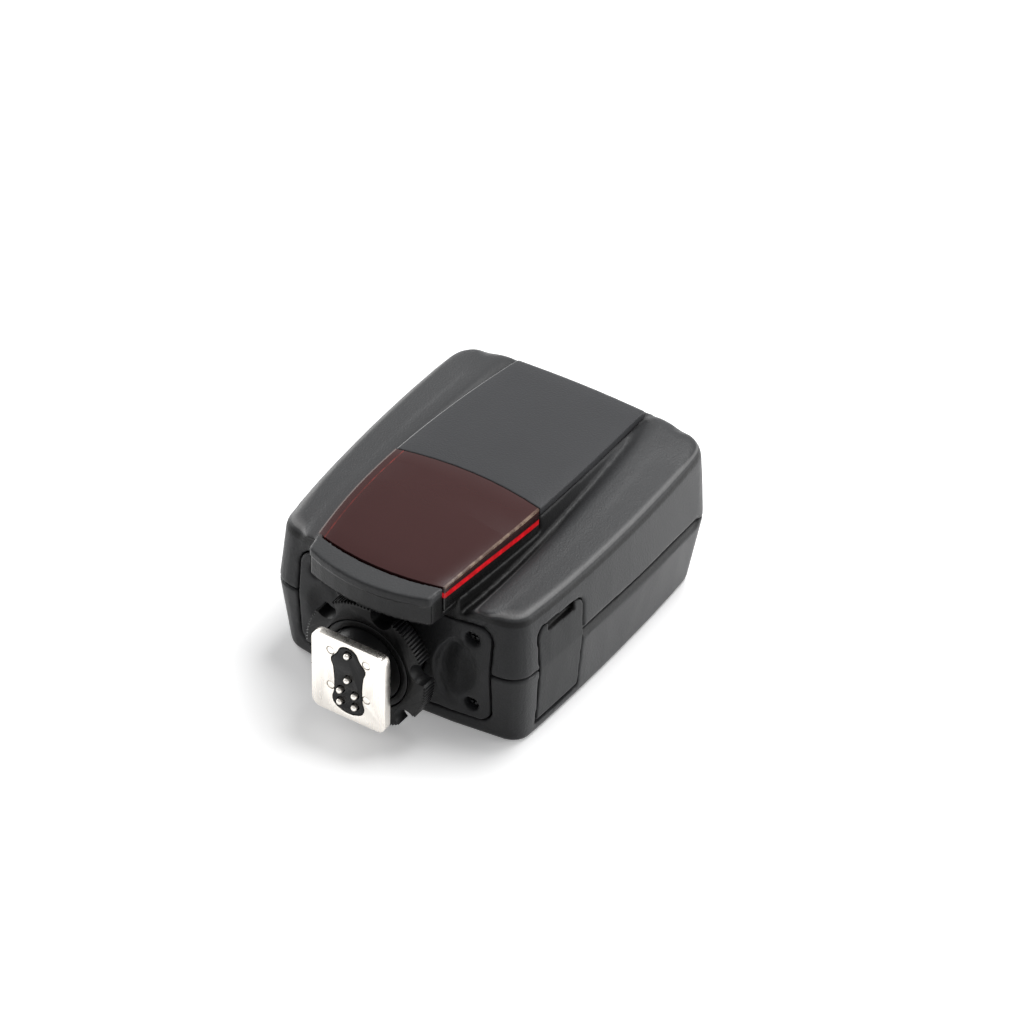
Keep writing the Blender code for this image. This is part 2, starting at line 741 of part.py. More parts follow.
def door_opening(name, side, length):
    """The hole in the side wall for a door, with clearance all round."""
    start, stop = DOOR_START_Y - GAP, DOOR_START_Y + length + GAP
    low = (-KNUCKLE_RADIUS - GAP, start, DOOR_LOW - GAP)
    shape = flap_box(low, (CASE_WIDTH / 4, stop, DOOR_HIGH + GAP), DOOR_CORNER + GAP)
    return on_hinge(name, shape, side, length)


def hinge_block(name, side, length):
    """Two lugs on the rear half that hold the door's trunnions."""
    bm = bmesh.new()
    reach = TRUNNION_RADIUS + GAP + MM
    for low in (DOOR_START_Y - GAP - TRUNNION_LENGTH - MM, DOOR_START_Y + length + GAP):
        high = low + TRUNNION_LENGTH + MM
        outer = KNUCKLE_RADIUS - BASE_ROUND / 2
        add_box(bm, (-reach, low, BACK_THICKNESS / 2), (outer, high, HINGE_HEIGHT + reach))
    return on_hinge(name, bm, side, length)


def hinge_bore(name, side, length):
    """The bore through both lugs for the trunnions."""
    full = length + 2 * (TRUNNION_LENGTH + GAP)
    start = (0, DOOR_START_Y - TRUNNION_LENGTH - GAP, HINGE_HEIGHT)
    return on_hinge(name, rod(1, start, full, TRUNNION_RADIUS + GAP, 12), side, length)


def side_groove(name, side, start_y):
    """The long shallow finger groove along the seam."""
    stop_y = FAR_Y - SIDE_GROOVE_END_FROM_FAR
    half = SIDE_GROOVE_HEIGHT / 2
    bm = box(
        (0, start_y - half, SEAM_HEIGHT - half), (4 * MM, stop_y, SEAM_HEIGHT + half), 0, 0.98 * half, 4
    )
    divide(bm, 1, [mix(start_y, stop_y, (k + 1) / 9) for k in range(8)])
    for vert in bm.verts:
        vert.co.x = side * (vert.co.x + seam_half(vert.co.y) - SIDE_GROOVE_DEPTH)
    return finish_object(name, bm)


CASE_POSTS = [
    (side * CASE_POST_X, y)
    for side in (-1, 1)
    for y in (NEAR_Y + CASE_POST_NEAR, FAR_Y - CASE_POST_FAR)
]


def post_solids(name, low, high):
    """Round posts inside the casing for the case screws."""
    bm = bmesh.new()
    for x, y in CASE_POSTS:
        top = min(high, shoulder_height(x, y) - WALL / 2)
        add_rod(bm, 2, (x, y, low), top - low, POST_RADIUS)
    return finish_object(name, bm)


def rib_solids(name, height):
    """Ribs behind the foot cover that take its screws, reaching in from the case posts."""
    bm = bmesh.new()
    start = COVER_BACK_Y + GAP
    half = SCREW_SHANK_RADIUS + GAP + 1.2 * MM
    for side in (-1, 1):
        xs = sorted((side * (COVER_SCREW_X - half), side * CASE_POST_X))
        add_box(bm, (xs[0], start, height - half), (xs[1], start + POST_DEPTH, height + half))
    return finish_object(name, bm)


COVER_SCREWS = [(side * COVER_SCREW_X, height) for side in (-1, 1) for height in (COVER_SCREW_LOW, COVER_SCREW_HIGH)]


def cover_screw_bores(name):
    bm = bmesh.new()
    for x, z in COVER_SCREWS:
        add_rod(bm, 1, (x, NEAR_Y - MM, z), COVER_DEPTH + POST_DEPTH + 3 * MM, SCREW_SHANK_RADIUS + GAP, 12)
    return finish_object(name, bm)


def case_screw_bores(name):
    """Counterbored holes for the case screws, from the back up into the front half's posts."""
    bm = bmesh.new()
    for x, y in CASE_POSTS:
        depth = CASE_SCREW_SUNK + SCREW_HEAD_HEIGHT + GAP
        add_rod(bm, 2, (x, y, -MM), depth + MM, CASE_SCREW_HEAD + GAP, 16)
    heads = finish_object(name + "_heads", bm)
    bm = bmesh.new()
    for x, y in CASE_POSTS:
        add_rod(bm, 2, (x, y, -MM), CASE_SCREW_SUNK + CASE_SCREW_LENGTH + 2 * MM, SCREW_SHANK_RADIUS + GAP, 12)
    return heads, finish_object(name + "_shanks", bm)


def key_shapes():
    """Every key on the back: name, centre, half-sizes or radius, and whether it is round."""
    shapes = []
    menu_y = NEAR_Y + MENU_KEYS_FROM_NEAR
    for k in range(4):
        x = (k - 1.5) * MENU_KEY_PITCH
        shapes.append((f"menu_key_{k + 1}", (x, menu_y), (MENU_KEY_WIDTH / 2, MENU_KEY_LENGTH / 2), False))
    half = (PAD_KEY / 2, PAD_KEY / 2)
    for name, dx, dy in (("up_key", 0, 1), ("down_key", 0, -1), ("left_key", -1, 0), ("right_key", 1, 0)):
        shapes.append((name, (dx * PAD_REACH, PAD_Y + dy * PAD_REACH), half, False))
    shapes.append(("ok_key", (0.0, PAD_Y), (OK_RADIUS, OK_RADIUS), True))
    shapes.append(("test_button", (TEST_X, PAD_Y), (TEST_RADIUS, TEST_RADIUS), True))
    return shapes


KEY_TOP = BACK_THICKNESS + GAP + KEY_FLANGE_THICKNESS
KEYS = key_shapes()


def key_block(bm, centre, half, is_round, low, high, grow):
    x, y = centre
    if is_round:
        return add_rod(bm, 2, (x, y, low), high - low, half[0] + grow, 24)
    corner = 1.0 * MM + max(grow, 0)
    low_corner = (x - half[0] - grow, y - half[1] - grow, low)
    high_corner = (x + half[0] + grow, y + half[1] + grow, high)
    return add_box(bm, low_corner, high_corner, 2, corner, 3)


def build_keys():
    for name, centre, half, is_round in KEYS:
        cap = key_block(bmesh.new(), centre, half, is_round, KEY_SUNK, KEY_TOP - 0.2 * MM, 0.0)
        key = finish_object(name, cap, KEY_GREY)
        flange = key_block(bmesh.new(), centre, half, is_round, BACK_THICKNESS + GAP, KEY_TOP, KEY_FLANGE)
        join(key, finish_object(name + "_flange", flange))


def key_holes(name):
    bm = bmesh.new()
    for _, centre, half, is_round in KEYS:
        key_block(bm, centre, half, is_round, -MM, BACK_THICKNESS + MM, GAP)
    return finish_object(name, bm)


def build_dome_sheet():
    """A rubber sheet under the board with one dome behind each key."""
    top = BOARD_HEIGHT - GAP
    low = top - DOME_SHEET_THICKNESS
    ys = [y for _, (x, y), _, _ in KEYS]
    near, far = min(ys) - DOME_RADIUS, max(ys) + DOME_RADIUS
    half = TEST_X + DOME_SHEET_MARGIN
    sheet = finish_object("dome_sheet", box((-half, near, low), (half, far, top), 2, MM, 2), SOFT_BLACK)
    bm = bmesh.new()
    reach = KEY_TOP + KEY_TRAVEL + GAP / 2
    for _, (x, y), _, _ in KEYS:
        add_rod(bm, 2, (x, y, reach), top - reach - 0.2 * MM, 0.6 * DOME_RADIUS, 12, DOME_RADIUS)
    join(sheet, finish_object("dome_sheet_domes", bm))
    x, y = LIGHT_PLACE
    cut(sheet, finish_object("dome_sheet_hole", rod(2, (x, y, 0), BOARD_TOP, LIGHT_RADIUS + GAP, 16)))


def build_power_switch():
    y = PAD_Y
    x = -SWITCH_X
    half = SWITCH_KNOB / 2
    knob = box((x - half, y - half, KEY_SUNK), (x + half, y + half, BACK_THICKNESS + GAP + 0.1 * MM), 2, 0.8 * MM, 2)
    switch = finish_object("power_switch", knob, KEY_GREY)
    wide = half + KEY_FLANGE
    flange = box((x - wide, y - wide, BACK_THICKNESS + GAP), (x + wide, y + wide, KEY_TOP), 2, 0.8 * MM, 2)
    join(switch, finish_object("power_switch_flange", flange))


def power_switch_slot(name):
    half = SWITCH_KNOB / 2 + GAP
    low = (-SWITCH_X - half, PAD_Y - half, -MM)
    high = (-SWITCH_X + half + SWITCH_TRAVEL, PAD_Y + half, BACK_THICKNESS + MM)
    return finish_object(name, box(low, high, 2, 1.0 * MM, 2))


def build_display():
    half_w, half_l = LENS_WIDTH / 2, LENS_LENGTH / 2
    lens = box(
        (-half_w, LENS_Y - half_l, KEY_SUNK),
        (half_w, LENS_Y + half_l, KEY_SUNK + LENS_THICKNESS),
        2,
        LENS_CORNER,
        4,
    )
    finish_object("lcd_lens", lens, LENS_DARK)
    low = BACK_THICKNESS + GAP
    half_w -= MODULE_SHY
    half_l -= MODULE_SHY
    module = box((-half_w, LENS_Y - half_l, low), (half_w, LENS_Y + half_l, BOARD_HEIGHT - GAP))
    finish_object("lcd_module", module, DISPLAY_GREY)


def display_openings():
    half_w, half_l = LENS_WIDTH / 2, LENS_LENGTH / 2
    step = KEY_SUNK + LENS_THICKNESS + GAP / 2
    rebate = box(
        (-half_w - GAP, LENS_Y - half_l - GAP, -MM), (half_w + GAP, LENS_Y + half_l + GAP, step), 2, LENS_CORNER, 4
    )
    through = box(
        (-half_w + LENS_LEDGE, LENS_Y - half_l + LENS_LEDGE, -MM),
        (half_w - LENS_LEDGE, LENS_Y + half_l - LENS_LEDGE, BACK_THICKNESS + MM),
    )
    return finish_object("lens_rebate", rebate), finish_object("lens_aperture", through)


LIGHT_PLACE = (TEST_X, PAD_Y + LIGHT_FROM_TEST)


def build_status_light():
    x, y = LIGHT_PLACE
    pipe = rod(2, (x, y, KEY_SUNK), BOARD_HEIGHT - GAP - KEY_SUNK, LIGHT_RADIUS, 16)
    finish_object("status_light", pipe, LIGHT_CLEAR)


def status_light_hole(name):
    x, y = LIGHT_PLACE
    return finish_object(name, rod(2, (x, y, -MM), BACK_THICKNESS + 2 * MM, LIGHT_RADIUS + GAP, 16))


def standoff_places():
    xs = (-BOARD_HALF_WIDTH + STANDOFF_INSET, BOARD_HALF_WIDTH - STANDOFF_INSET)
    ys = (BOARD_START_Y + STANDOFF_INSET, BOARD_START_Y + BOARD_LENGTH - STANDOFF_INSET)
    return [(x, y) for x in xs for y in ys]


def standoffs(name):
    bm = bmesh.new()
    for x, y in standoff_places():
        add_rod(bm, 2, (x, y, BACK_THICKNESS / 2), BOARD_HEIGHT - GAP - BACK_THICKNESS / 2, STANDOFF_RADIUS, 12)
    return finish_object(name, bm)


def build_boards():
    low = (-BOARD_HALF_WIDTH, BOARD_START_Y, BOARD_HEIGHT)
    high = (BOARD_HALF_WIDTH, BOARD_START_Y + BOARD_LENGTH, BOARD_TOP)
    finish_object("main_board", box(low, high, 2, 1.5 * MM, 2), BOARD_GREEN)
    far = BOARD_START_Y + BOARD_LENGTH - 1.5 * MM
    low = (-RADIO_WIDTH / 2, far - RADIO_LENGTH, BOARD_TOP + GAP)
    high = (RADIO_WIDTH / 2, far, BOARD_TOP + GAP + RADIO_HEIGHT)
    finish_object("rf_module", box(low, high), STEEL)
    start = (RADIO_WIDTH / 2 + 4 * MM, far - ANTENNA_LENGTH, BOARD_TOP + GAP + ANTENNA_RADIUS)
    finish_object("antenna", rod(1, start, ANTENNA_LENGTH, ANTENNA_RADIUS, 12), GOLD)


def cell_places():
    """Height and place along the body of each cell's axis."""
    first = BOARD_START_Y + TRAY_WALL + GAP + CELL_RADIUS
    return [first, first + CELL_PITCH]


TRAY_LEFT = -(hinge_line(DOOR_START_Y, BATTERY_DOOR_LENGTH, -1) - KNUCKLE_RADIUS - 2 * GAP)
CELL_LEFT = TRAY_LEFT + CELL_SPRING_LENGTH + 2 * GAP
CELL_RIGHT = CELL_LEFT + CELL_LENGTH
TRAY_RIGHT = CELL_RIGHT + CELL_NUB_LENGTH + CONTACT_THICKNESS + 2 * GAP + TRAY_WALL


def build_cells():
    for k, y in enumerate(cell_places()):
        body = rod(0, (CELL_LEFT, y, CELL_AXIS_HEIGHT), CELL_LENGTH, CELL_RADIUS, 24)
        cell = finish_object(f"cell_{k + 1}", body, CELL_SLEEVE)
        nub = rod(0, (CELL_RIGHT - MM, y, CELL_AXIS_HEIGHT), CELL_NUB_LENGTH + MM, CELL_NUB_RADIUS, 16)
        join(cell, finish_object(f"cell_{k + 1}_nub", nub))
    ys = cell_places()
    spring_x = CELL_LEFT - GAP - CELL_SPRING_LENGTH
    low = (spring_x, ys[0] - CELL_SPRING_RADIUS, CELL_AXIS_HEIGHT - CELL_SPRING_RADIUS)
    high = (spring_x + CONTACT_THICKNESS, ys[1] + CELL_SPRING_RADIUS, CELL_AXIS_HEIGHT + CELL_SPRING_RADIUS)
    springs = finish_object("cell_springs", box(low, high), STEEL)
    bm = bmesh.new()
    for y in ys:
        start = (spring_x + CONTACT_THICKNESS / 2, y, CELL_AXIS_HEIGHT)
        length = CELL_SPRING_LENGTH - CONTACT_THICKNESS / 2
        add_rod(bm, 0, start, length, CELL_SPRING_RADIUS - 0.2 * MM, 16, CELL_NUB_RADIUS / 2)
    join(springs, finish_object("cell_spring_cones", bm))
    contact_x = CELL_RIGHT + CELL_NUB_LENGTH + GAP
    half = CELL_RADIUS - MM
    plate = box(
        (contact_x, ys[0] - half, CELL_AXIS_HEIGHT - half),
        (contact_x + CONTACT_THICKNESS, ys[1] + half, CELL_AXIS_HEIGHT + half),
    )
    finish_object("cell_contacts", plate, STEEL)


def build_tray():
    ys = cell_places()
    reach = CELL_RADIUS + GAP
    low = (TRAY_LEFT, ys[0] - reach - TRAY_WALL, TRAY_FLOOR)
    high = (TRAY_RIGHT, ys[1] + reach + TRAY_WALL, CELL_AXIS_HEIGHT + reach + TRAY_WALL)
    tray = finish_object("battery_tray", box(low, high), SOFT_BLACK)
    bm = bmesh.new()
    right = TRAY_RIGHT - TRAY_WALL
    for y in ys:
        add_box(bm, (TRAY_LEFT - MM, y - reach, CELL_AXIS_HEIGHT - reach), (right, y + reach, CELL_AXIS_HEIGHT + reach))
    hollow = finish_object("tray_hollow", bm)
    bm = bmesh.new()
    for start, stop in ((TRAY_LEFT - MM, CELL_LEFT), (CELL_RIGHT, right)):
        low = (start, ys[0] - reach + MM, CELL_AXIS_HEIGHT - reach)
        add_box(bm, low, (stop, ys[1] + reach - MM, CELL_AXIS_HEIGHT + reach))
    return cut(tray, hollow, finish_object("tray_end_gaps", bm))


def build_sockets():
    """A screw-ring sync socket and a small jack behind the port cover, standing on the board."""
    right = hinge_line(DOOR_START_Y, PORT_COVER_LENGTH, 1) - KNUCKLE_RADIUS - 2 * GAP
    sync_y = DOOR_START_Y + PORT_COVER_LENGTH * 0.3
    jack_y = DOOR_START_Y + PORT_COVER_LENGTH * 0.74
    height = BOARD_TOP + GAP
    axis = height + SYNC_RADIUS
    left = right - SOCKET_LENGTH
    sync = finish_object("sync_socket", rod(0, (left, sync_y, axis), SOCKET_LENGTH, SYNC_RADIUS, 20), NICKEL)
    bore = rod(0, (right - 0.7 * SOCKET_LENGTH, sync_y, axis), SOCKET_LENGTH, SYNC_RADIUS * 0.55, 16)
    cut(sync, finish_object("sync_bore", bore))
    low = (left, jack_y - JACK_HALF, height)
    high = (right, jack_y + JACK_HALF, height + 2 * JACK_HALF)
    jack = finish_object("jack_socket", box(low, high), SOFT_BLACK)
    bore = rod(0, (right - 0.7 * SOCKET_LENGTH, jack_y, height + JACK_HALF), SOCKET_LENGTH, JACK_HALF * 0.5, 16)
    cut(jack, finish_object("jack_bore", bore))


def build_lamps():
    """A small reflector box in the roof under the window, with two lamps and their board."""
    half_w, half_l = LAMP_WIDTH / 2, LAMP_LENGTH / 2
    y = LAMP_Y
    top = LAMP_TOP
    low = top - LAMP_DEPTH
    housing = finish_object("lamp_housing", box((-half_w, y - half_l, low), (half_w, y + half_l, top)), SOFT_BLACK)
    lip = LAMP_LIP
    flange = box((-half_w - lip, y - half_l - lip, LAMP_SEAT - LAMP_WALL), (half_w + lip, y + half_l + lip, LAMP_SEAT))
    join(housing, finish_object("lamp_flange", flange))
    floor = low + LAMP_WALL
    hollow = box((-half_w + LAMP_WALL, y - half_l + LAMP_WALL, floor), (half_w - LAMP_WALL, y + half_l - LAMP_WALL, top + MM))
    cut(housing, finish_object("lamp_hollow", hollow))
    reach = LED_SPACING / 2 + LED_RADIUS
    strip = (reach, LED_RADIUS + 0.4 * MM, 0.8 * MM)
    bar = box((-strip[0], y - strip[1], floor + GAP), (strip[0], y + strip[1], floor + GAP + strip[2]))
    leds = finish_object("lamp_leds", bar, LED_CLEAR)
    bm = bmesh.new()
    for side in (-1, 1):
        x = side * LED_SPACING / 2
        add_rod(bm, 2, (x, y, floor + GAP + 0.5 * MM), LED_HEIGHT, 0.95 * LED_RADIUS, 16, LED_RADIUS * 0.6)
    join(leds, finish_object("lamp_led_domes", bm))
    board = box((-half_w + MM, y - half_l + MM, low - GAP - BOARD_THICKNESS), (half_w - MM, y + half_l - MM, low - GAP))
    finish_object("lamp_board", board, BOARD_GREEN)


STEM_END_Y = COVER_BACK_Y + GAP + STEM_FLANGE_THICKNESS
LAMP_Y = STEM_END_Y + LAMP_BEHIND_STEM + LAMP_LIP + LAMP_LENGTH / 2
LAMP_SEAT = plinth_height(LAMP_Y - LAMP_LENGTH / 2 - LAMP_LIP) - WALL - GAP
LAMP_TOP = LAMP_SEAT + WALL - 0.2 * MM


def lamp_opening(name):
    half_w, half_l = LAMP_WIDTH / 2 + GAP, LAMP_LENGTH / 2 + GAP
    low = (-half_w, LAMP_Y - half_l, LAMP_SEAT - 2 * MM)
    return finish_object(name, box(low, (half_w, LAMP_Y + half_l, PANEL_CROWN_HEIGHT + MM)))


def build_panel():
    def shape(u, v, w):
        start = WINDOW_END_Y + GAP
        y = mix(start, FAR_Y - PANEL_FAR_INSET, v)
        x = mix(-1.0, 1.0, u) * panel_half(y)
        arc = WINDOW_FAR_ARC * (1 - (x / panel_half(y)) ** 2)
        return x, y + mix(arc, -FAR_BOW * bow(x), v), panel_height(y) - (1 - w) * PANEL_THICKNESS

    bm = grid_box((8, 8, 1), shape)
    last = FAR_Y - PANEL_FAR_INSET - FAR_BOW

    def far_edge(a, b):
        return all(p.y > last and abs(p.z - panel_height(FAR_Y - PANEL_FAR_INSET)) < 1e-6 for p in (a, b))

    round_edges(bm, far_edge, PANEL_FAR_ROUND, 3)
    finish_object("front_panel", bm, CASE_BLACK)


def build_visor(window_pocket):
    low = AXIS_HEIGHT + WHEEL_RADIUS + VISOR_ABOVE_WHEEL

    def shape(u, v, w):
        front = NEAR_Y - VISOR_REACH
        y0 = mix(front, NEAR_Y, v)
        half = panel_half(y0)
        x = mix(-half, half, u)
        z = mix(low, panel_height(y0), w)
        y_front = front - VISOR_ARC * (1 - (x / half) ** 2)
        y = mix(y_front, near_face(x, z) - GAP, v)
        return x, y, mix(low, panel_height(y), w)

    bm = grid_box((8, 4, 1), shape)
    corner = panel_half(NEAR_Y - VISOR_REACH)
    round_edges(
        bm,
        lambda a, b: runs_along(a, b, 2) and abs(abs(a.x) - corner) < 1e-5 and a.y < NEAR_Y - VISOR_REACH + 1e-5,
        VISOR_CORNER,
        3,
    )
    visor = finish_object("visor", bm, CASE_BLACK)
    cut(visor, window_pocket)


def build_shells(window_pocket):
    form = casing(0.0, SEAM_HEIGHT + GAP / 2, PANEL_CROWN_HEIGHT, 0.0, 5, "top")
    front = finish_object("front_shell", form, CASE_BLACK)
    hollow = casing(WALL, SEAM_HEIGHT - MM, PANEL_CROWN_HEIGHT, WALL, 3)
    cut(front, finish_object("front_hollow", hollow))
    posts = post_solids("front_posts", SEAM_HEIGHT + GAP / 2 + 0.1 * MM, PANEL_CROWN_HEIGHT)
    join(front, posts, rib_solids("front_ribs", COVER_SCREW_HIGH))
    form = casing(0.0, 0.0, SEAM_HEIGHT - GAP / 2, None, 5, "base")
    rear = finish_object("rear_shell", form, CASE_BLACK)
    hollow = casing(WALL, BACK_THICKNESS, SEAM_HEIGHT + MM, None, 3)
    cut(rear, finish_object("rear_hollow", hollow))
    posts = post_solids("rear_posts", BACK_THICKNESS / 2, SEAM_HEIGHT - GAP / 2 - 0.1 * MM)
    join(rear, posts, rib_solids("rear_ribs", COVER_SCREW_LOW), standoffs("standoffs"))
    for side, name, length in DOORS:
        join(rear, hinge_block(name + "_lugs", side, length))
    pocket = cover_form("cover_pocket", GAP)
    screw_holes = cover_screw_bores("cover_screw_bores")
    heads, shanks = case_screw_bores("case_screw_bores")
    for shell in (front, rear):
        cut(shell, pocket, screw_holes, shanks)
        for side, name, length in DOORS:
            cut(shell, GROOVES[name], OPENINGS[name])
    cut(rear, heads, key_holes("key_holes"), power_switch_slot("switch_slot"), *display_openings())
    cut(rear, status_light_hole("light_hole"))
    for side, name, length in DOORS:
        cut(rear, hinge_bore(name + "_bore", side, length))
    cut(front, window_pocket, lamp_opening("lamp_opening"))


def cover_form(name, grow, finish=None):
    """The foot cover's block, or the pocket for it where grow is the clearance."""
    low = (-COVER_HALF_WIDTH - grow, NEAR_Y - 4 * MM, COVER_LOW - grow)
    high = (COVER_HALF_WIDTH + grow, COVER_BACK_Y + grow, COVER_HIGH + grow)
    return finish_object(name, box(low, high, 1, COVER_CORNER + grow, 4), finish)


def build_cover():
    cover = cover_form("foot_cover", 0.0, CASE_BLACK)
    boolean(cover, CASING_FORM, "INTERSECT")
    bm = bmesh.new()
    for side in (-1, 1):
        face = near_face(SCOOP_X, AXIS_HEIGHT)
        made = bmesh.ops.create_uvsphere(bm, u_segments=20, v_segments=12, radius=1.0)["verts"]
        depth = 2 * SCOOP_DEPTH
        for vert in made:
            x, y, z = vert.co
            vert.co = (
                side * SCOOP_X + x * SCOOP_HALF_WIDTH,
                face + SCOOP_DEPTH - depth + y * depth,
                AXIS_HEIGHT + z * SCOOP_HALF_HEIGHT,
            )
    cut(cover, finish_object("scoops", bm))
    bm = bmesh.new()
    for x, z in COVER_SCREWS:
        start = near_face(x, z) - MM
        add_rod(bm, 1, (x, start, z), COVER_BACK_Y - SCREW_SEAT - start, SCREW_HEAD_RADIUS + GAP, 16)
    cut(cover, finish_object("cover_recesses", bm), cover_screw_bores("cover_bores"))
    axis = (0, NEAR_Y - 2 * MM, AXIS_HEIGHT)
    cut(cover, finish_object("stem_bore", rod(1, axis, COVER_DEPTH + 4 * MM, STEM_RADIUS + GAP, 32)))


def build_screws():
    for k, (x, z) in enumerate(COVER_SCREWS):
        head = COVER_BACK_Y - SCREW_SEAT - GAP - SCREW_HEAD_HEIGHT
        length = COVER_BACK_Y + GAP + POST_DEPTH - head
        finish_object(f"cover_screw_{k + 1}", screw(1, (x, head, z), length, SCREW_HEAD_RADIUS), STEEL)
    for k, (x, y) in enumerate(CASE_POSTS):
        shape = screw(2, (x, y, CASE_SCREW_SUNK), CASE_SCREW_LENGTH, CASE_SCREW_HEAD)
        finish_object(f"case_screw_{k + 1}", shape, STEEL)


def screw(axis, start, length, head_radius):
    """A pan-head screw from the top of its head along +axis, turned as one solid."""
    profile = [
        (0.0, 0.0),
        (0.0, head_radius),
        (SCREW_HEAD_HEIGHT, head_radius),
        (SCREW_HEAD_HEIGHT, SCREW_SHANK_RADIUS),
        (length, SCREW_SHANK_RADIUS),
        (length, 0.0),
    ]
    return turned(axis, start, profile, 12)


def build_foot():
    plate_low = (-PLATE_WIDTH / 2, PLATE_FRONT_Y, PLATE_CENTRE_HEIGHT - PLATE_HEIGHT / 2)
    plate_high = (PLATE_WIDTH / 2, PLATE_BACK_Y, PLATE_CENTRE_HEIGHT + PLATE_HEIGHT / 2)
    plate = finish_object("shoe_plate", box(plate_low, plate_high, 1, PLATE_CORNER, 4), NICKEL)
    pocket = insulator_solid("insulator_pocket", PLATE_FRONT_Y - MM, PLATE_THICKNESS + MM + GAP, GAP)
    rivet_bores = bmesh.new()
    for k, place in enumerate(RIVET_PLACES):
        start = foot_point(place, PLATE_FRONT_Y - MM)
        add_rod(rivet_bores, 1, start, RIVET_LENGTH + GAP + MM, RIVET_RADIUS + RIVET_FIT, 12)
        shape = rod(1, foot_point(place, PLATE_FRONT_Y), RIVET_LENGTH, RIVET_RADIUS, 12)
        finish_object(f"plate_rivet_{k + 1}", shape, NICKEL)
    rivet_bores = finish_object("rivet_bores", rivet_bores)
    cut(plate, pocket, rivet_bores)
    pin_bores = bmesh.new()
    for place in PIN_PLACES + ((0.0, LOCK_PIN_OFFSET / MM),):
        add_rod(pin_bores, 1, foot_point(place, PLATE_FRONT_Y - MM), PIN_BORE_DEPTH, PIN_RADIUS + GAP, 12)
    pin_bores = finish_object("pin_bores", pin_bores)
    insulator = insulator_solid("shoe_insulator", PLATE_FRONT_Y, PLATE_THICKNESS, 0.0, SOFT_BLACK)
    cut(insulator, pin_bores)
    names = ["sync_pin"] + [f"signal_pin_{k}" for k in range(1, len(PIN_PLACES))]
    for name, place in zip(names, PIN_PLACES):
        build_pin(name, place)
    build_pin("lock_pin", (0.0, LOCK_PIN_OFFSET / MM))
    shaft_end = COVER_BACK_Y + GAP
    shaft = turned(
        1,
        (0, 0, AXIS_HEIGHT),
        [
            (PLATE_BACK_Y + GAP, 0.0),
            (PLATE_BACK_Y + GAP, STEM_RADIUS),
            (shaft_end, STEM_RADIUS),
            (shaft_end, STEM_FLANGE_RADIUS),
            (shaft_end + STEM_FLANGE_THICKNESS, STEM_FLANGE_RADIUS),
            (shaft_end + STEM_FLANGE_THICKNESS, 0.0),
        ],
        32,
    )
    stem = finish_object("foot_stem", shaft, SOFT_BLACK)
    flats = bmesh.new()
    for side in (-1, 1):
        xs = sorted((side * NECK_WIDTH / 2, side * 2 * STEM_RADIUS))
        low = (xs[0], PLATE_BACK_Y, AXIS_HEIGHT - 2 * STEM_RADIUS)
        add_box(flats, low, (xs[1], WHEEL_FRONT_Y, AXIS_HEIGHT + 2 * STEM_RADIUS))
    cut(stem, finish_object("neck_flats", flats), rivet_bores, pin_bores)


def build_pin(name, place):
    """A contact pin with a rounded tip, standing proud of the plate."""
    tip = PIN_RADIUS * 0.45
    profile = [
        (0.0, 0.0),
        (0.0, PIN_RADIUS - tip),
        (tip * 0.3, PIN_RADIUS - tip * 0.3),
        (tip, PIN_RADIUS),
        (PIN_LENGTH, PIN_RADIUS),
        (PIN_LENGTH, 0.0),
    ]
    finish_object(name, turned(1, foot_point(place, PLATE_FRONT_Y - PIN_PROUD), profile, 12), NICKEL)


def build_clamp():
    """The knurled wheel, and the ring that it presses on the shoe's rails."""
    bore = STEM_RADIUS + GAP
    front = WHEEL_FRONT_Y
    ring = turned(
        1,
        (0, 0, AXIS_HEIGHT),
        [
            (front, bore),
            (front, RING_RADIUS),
            (front + RING_THICKNESS, RING_RADIUS),
            (front + RING_THICKNESS, bore),
            (front, bore),
        ],
        40,
    )
    finish_object("pressure_ring", ring, SOFT_BLACK)
    recess = RING_RADIUS + GAP
    floor = front + RING_THICKNESS + GAP
    back = front + WHEEL_THICKNESS
    wheel = turned(
        1,
        (0, 0, AXIS_HEIGHT),
        [
            (front, recess),
            (front, WHEEL_RADIUS - 0.4 * MM),
            (front + 0.4 * MM, WHEEL_RADIUS),
            (back - 0.4 * MM, WHEEL_RADIUS),
            (back, WHEEL_RADIUS - 0.4 * MM),
            (back, bore),
            (floor, bore),
            (floor, recess),
            (front, recess),
        ],
        60,
    )
    wheel = finish_object("lock_wheel", wheel, SOFT_BLACK)
    bm = bmesh.new()
    for k in range(WHEEL_NOTCHES):
        angle = NOTCH_START + 2 * math.pi * k / WHEEL_NOTCHES
        reach = WHEEL_RADIUS - NOTCH_CENTRE_INSET
        x, z = reach * math.cos(angle), AXIS_HEIGHT + reach * math.sin(angle)
        add_rod(bm, 1, (x, front - MM, z), WHEEL_THICKNESS + 2 * MM, NOTCH_RADIUS, 16)
    cut(wheel, finish_object("wheel_notches", bm))


def build_doors():
    cover = side_door("port_cover", 1, PORT_COVER_LENGTH)
    middle = DOOR_START_Y + PORT_COVER_LENGTH / 2
    face = side_half(middle, DOOR_HIGH, 1)
    low = (face - NOTCH_DEPTH, middle - NOTCH_LENGTH / 2, DOOR_HIGH - NOTCH_HEIGHT)
    high = (face + 3 * MM, middle + NOTCH_LENGTH / 2, DOOR_HIGH + MM)
    cut(cover, finish_object("nail_notch", box(low, high)))
    side_door("battery_door", -1, BATTERY_DOOR_LENGTH)


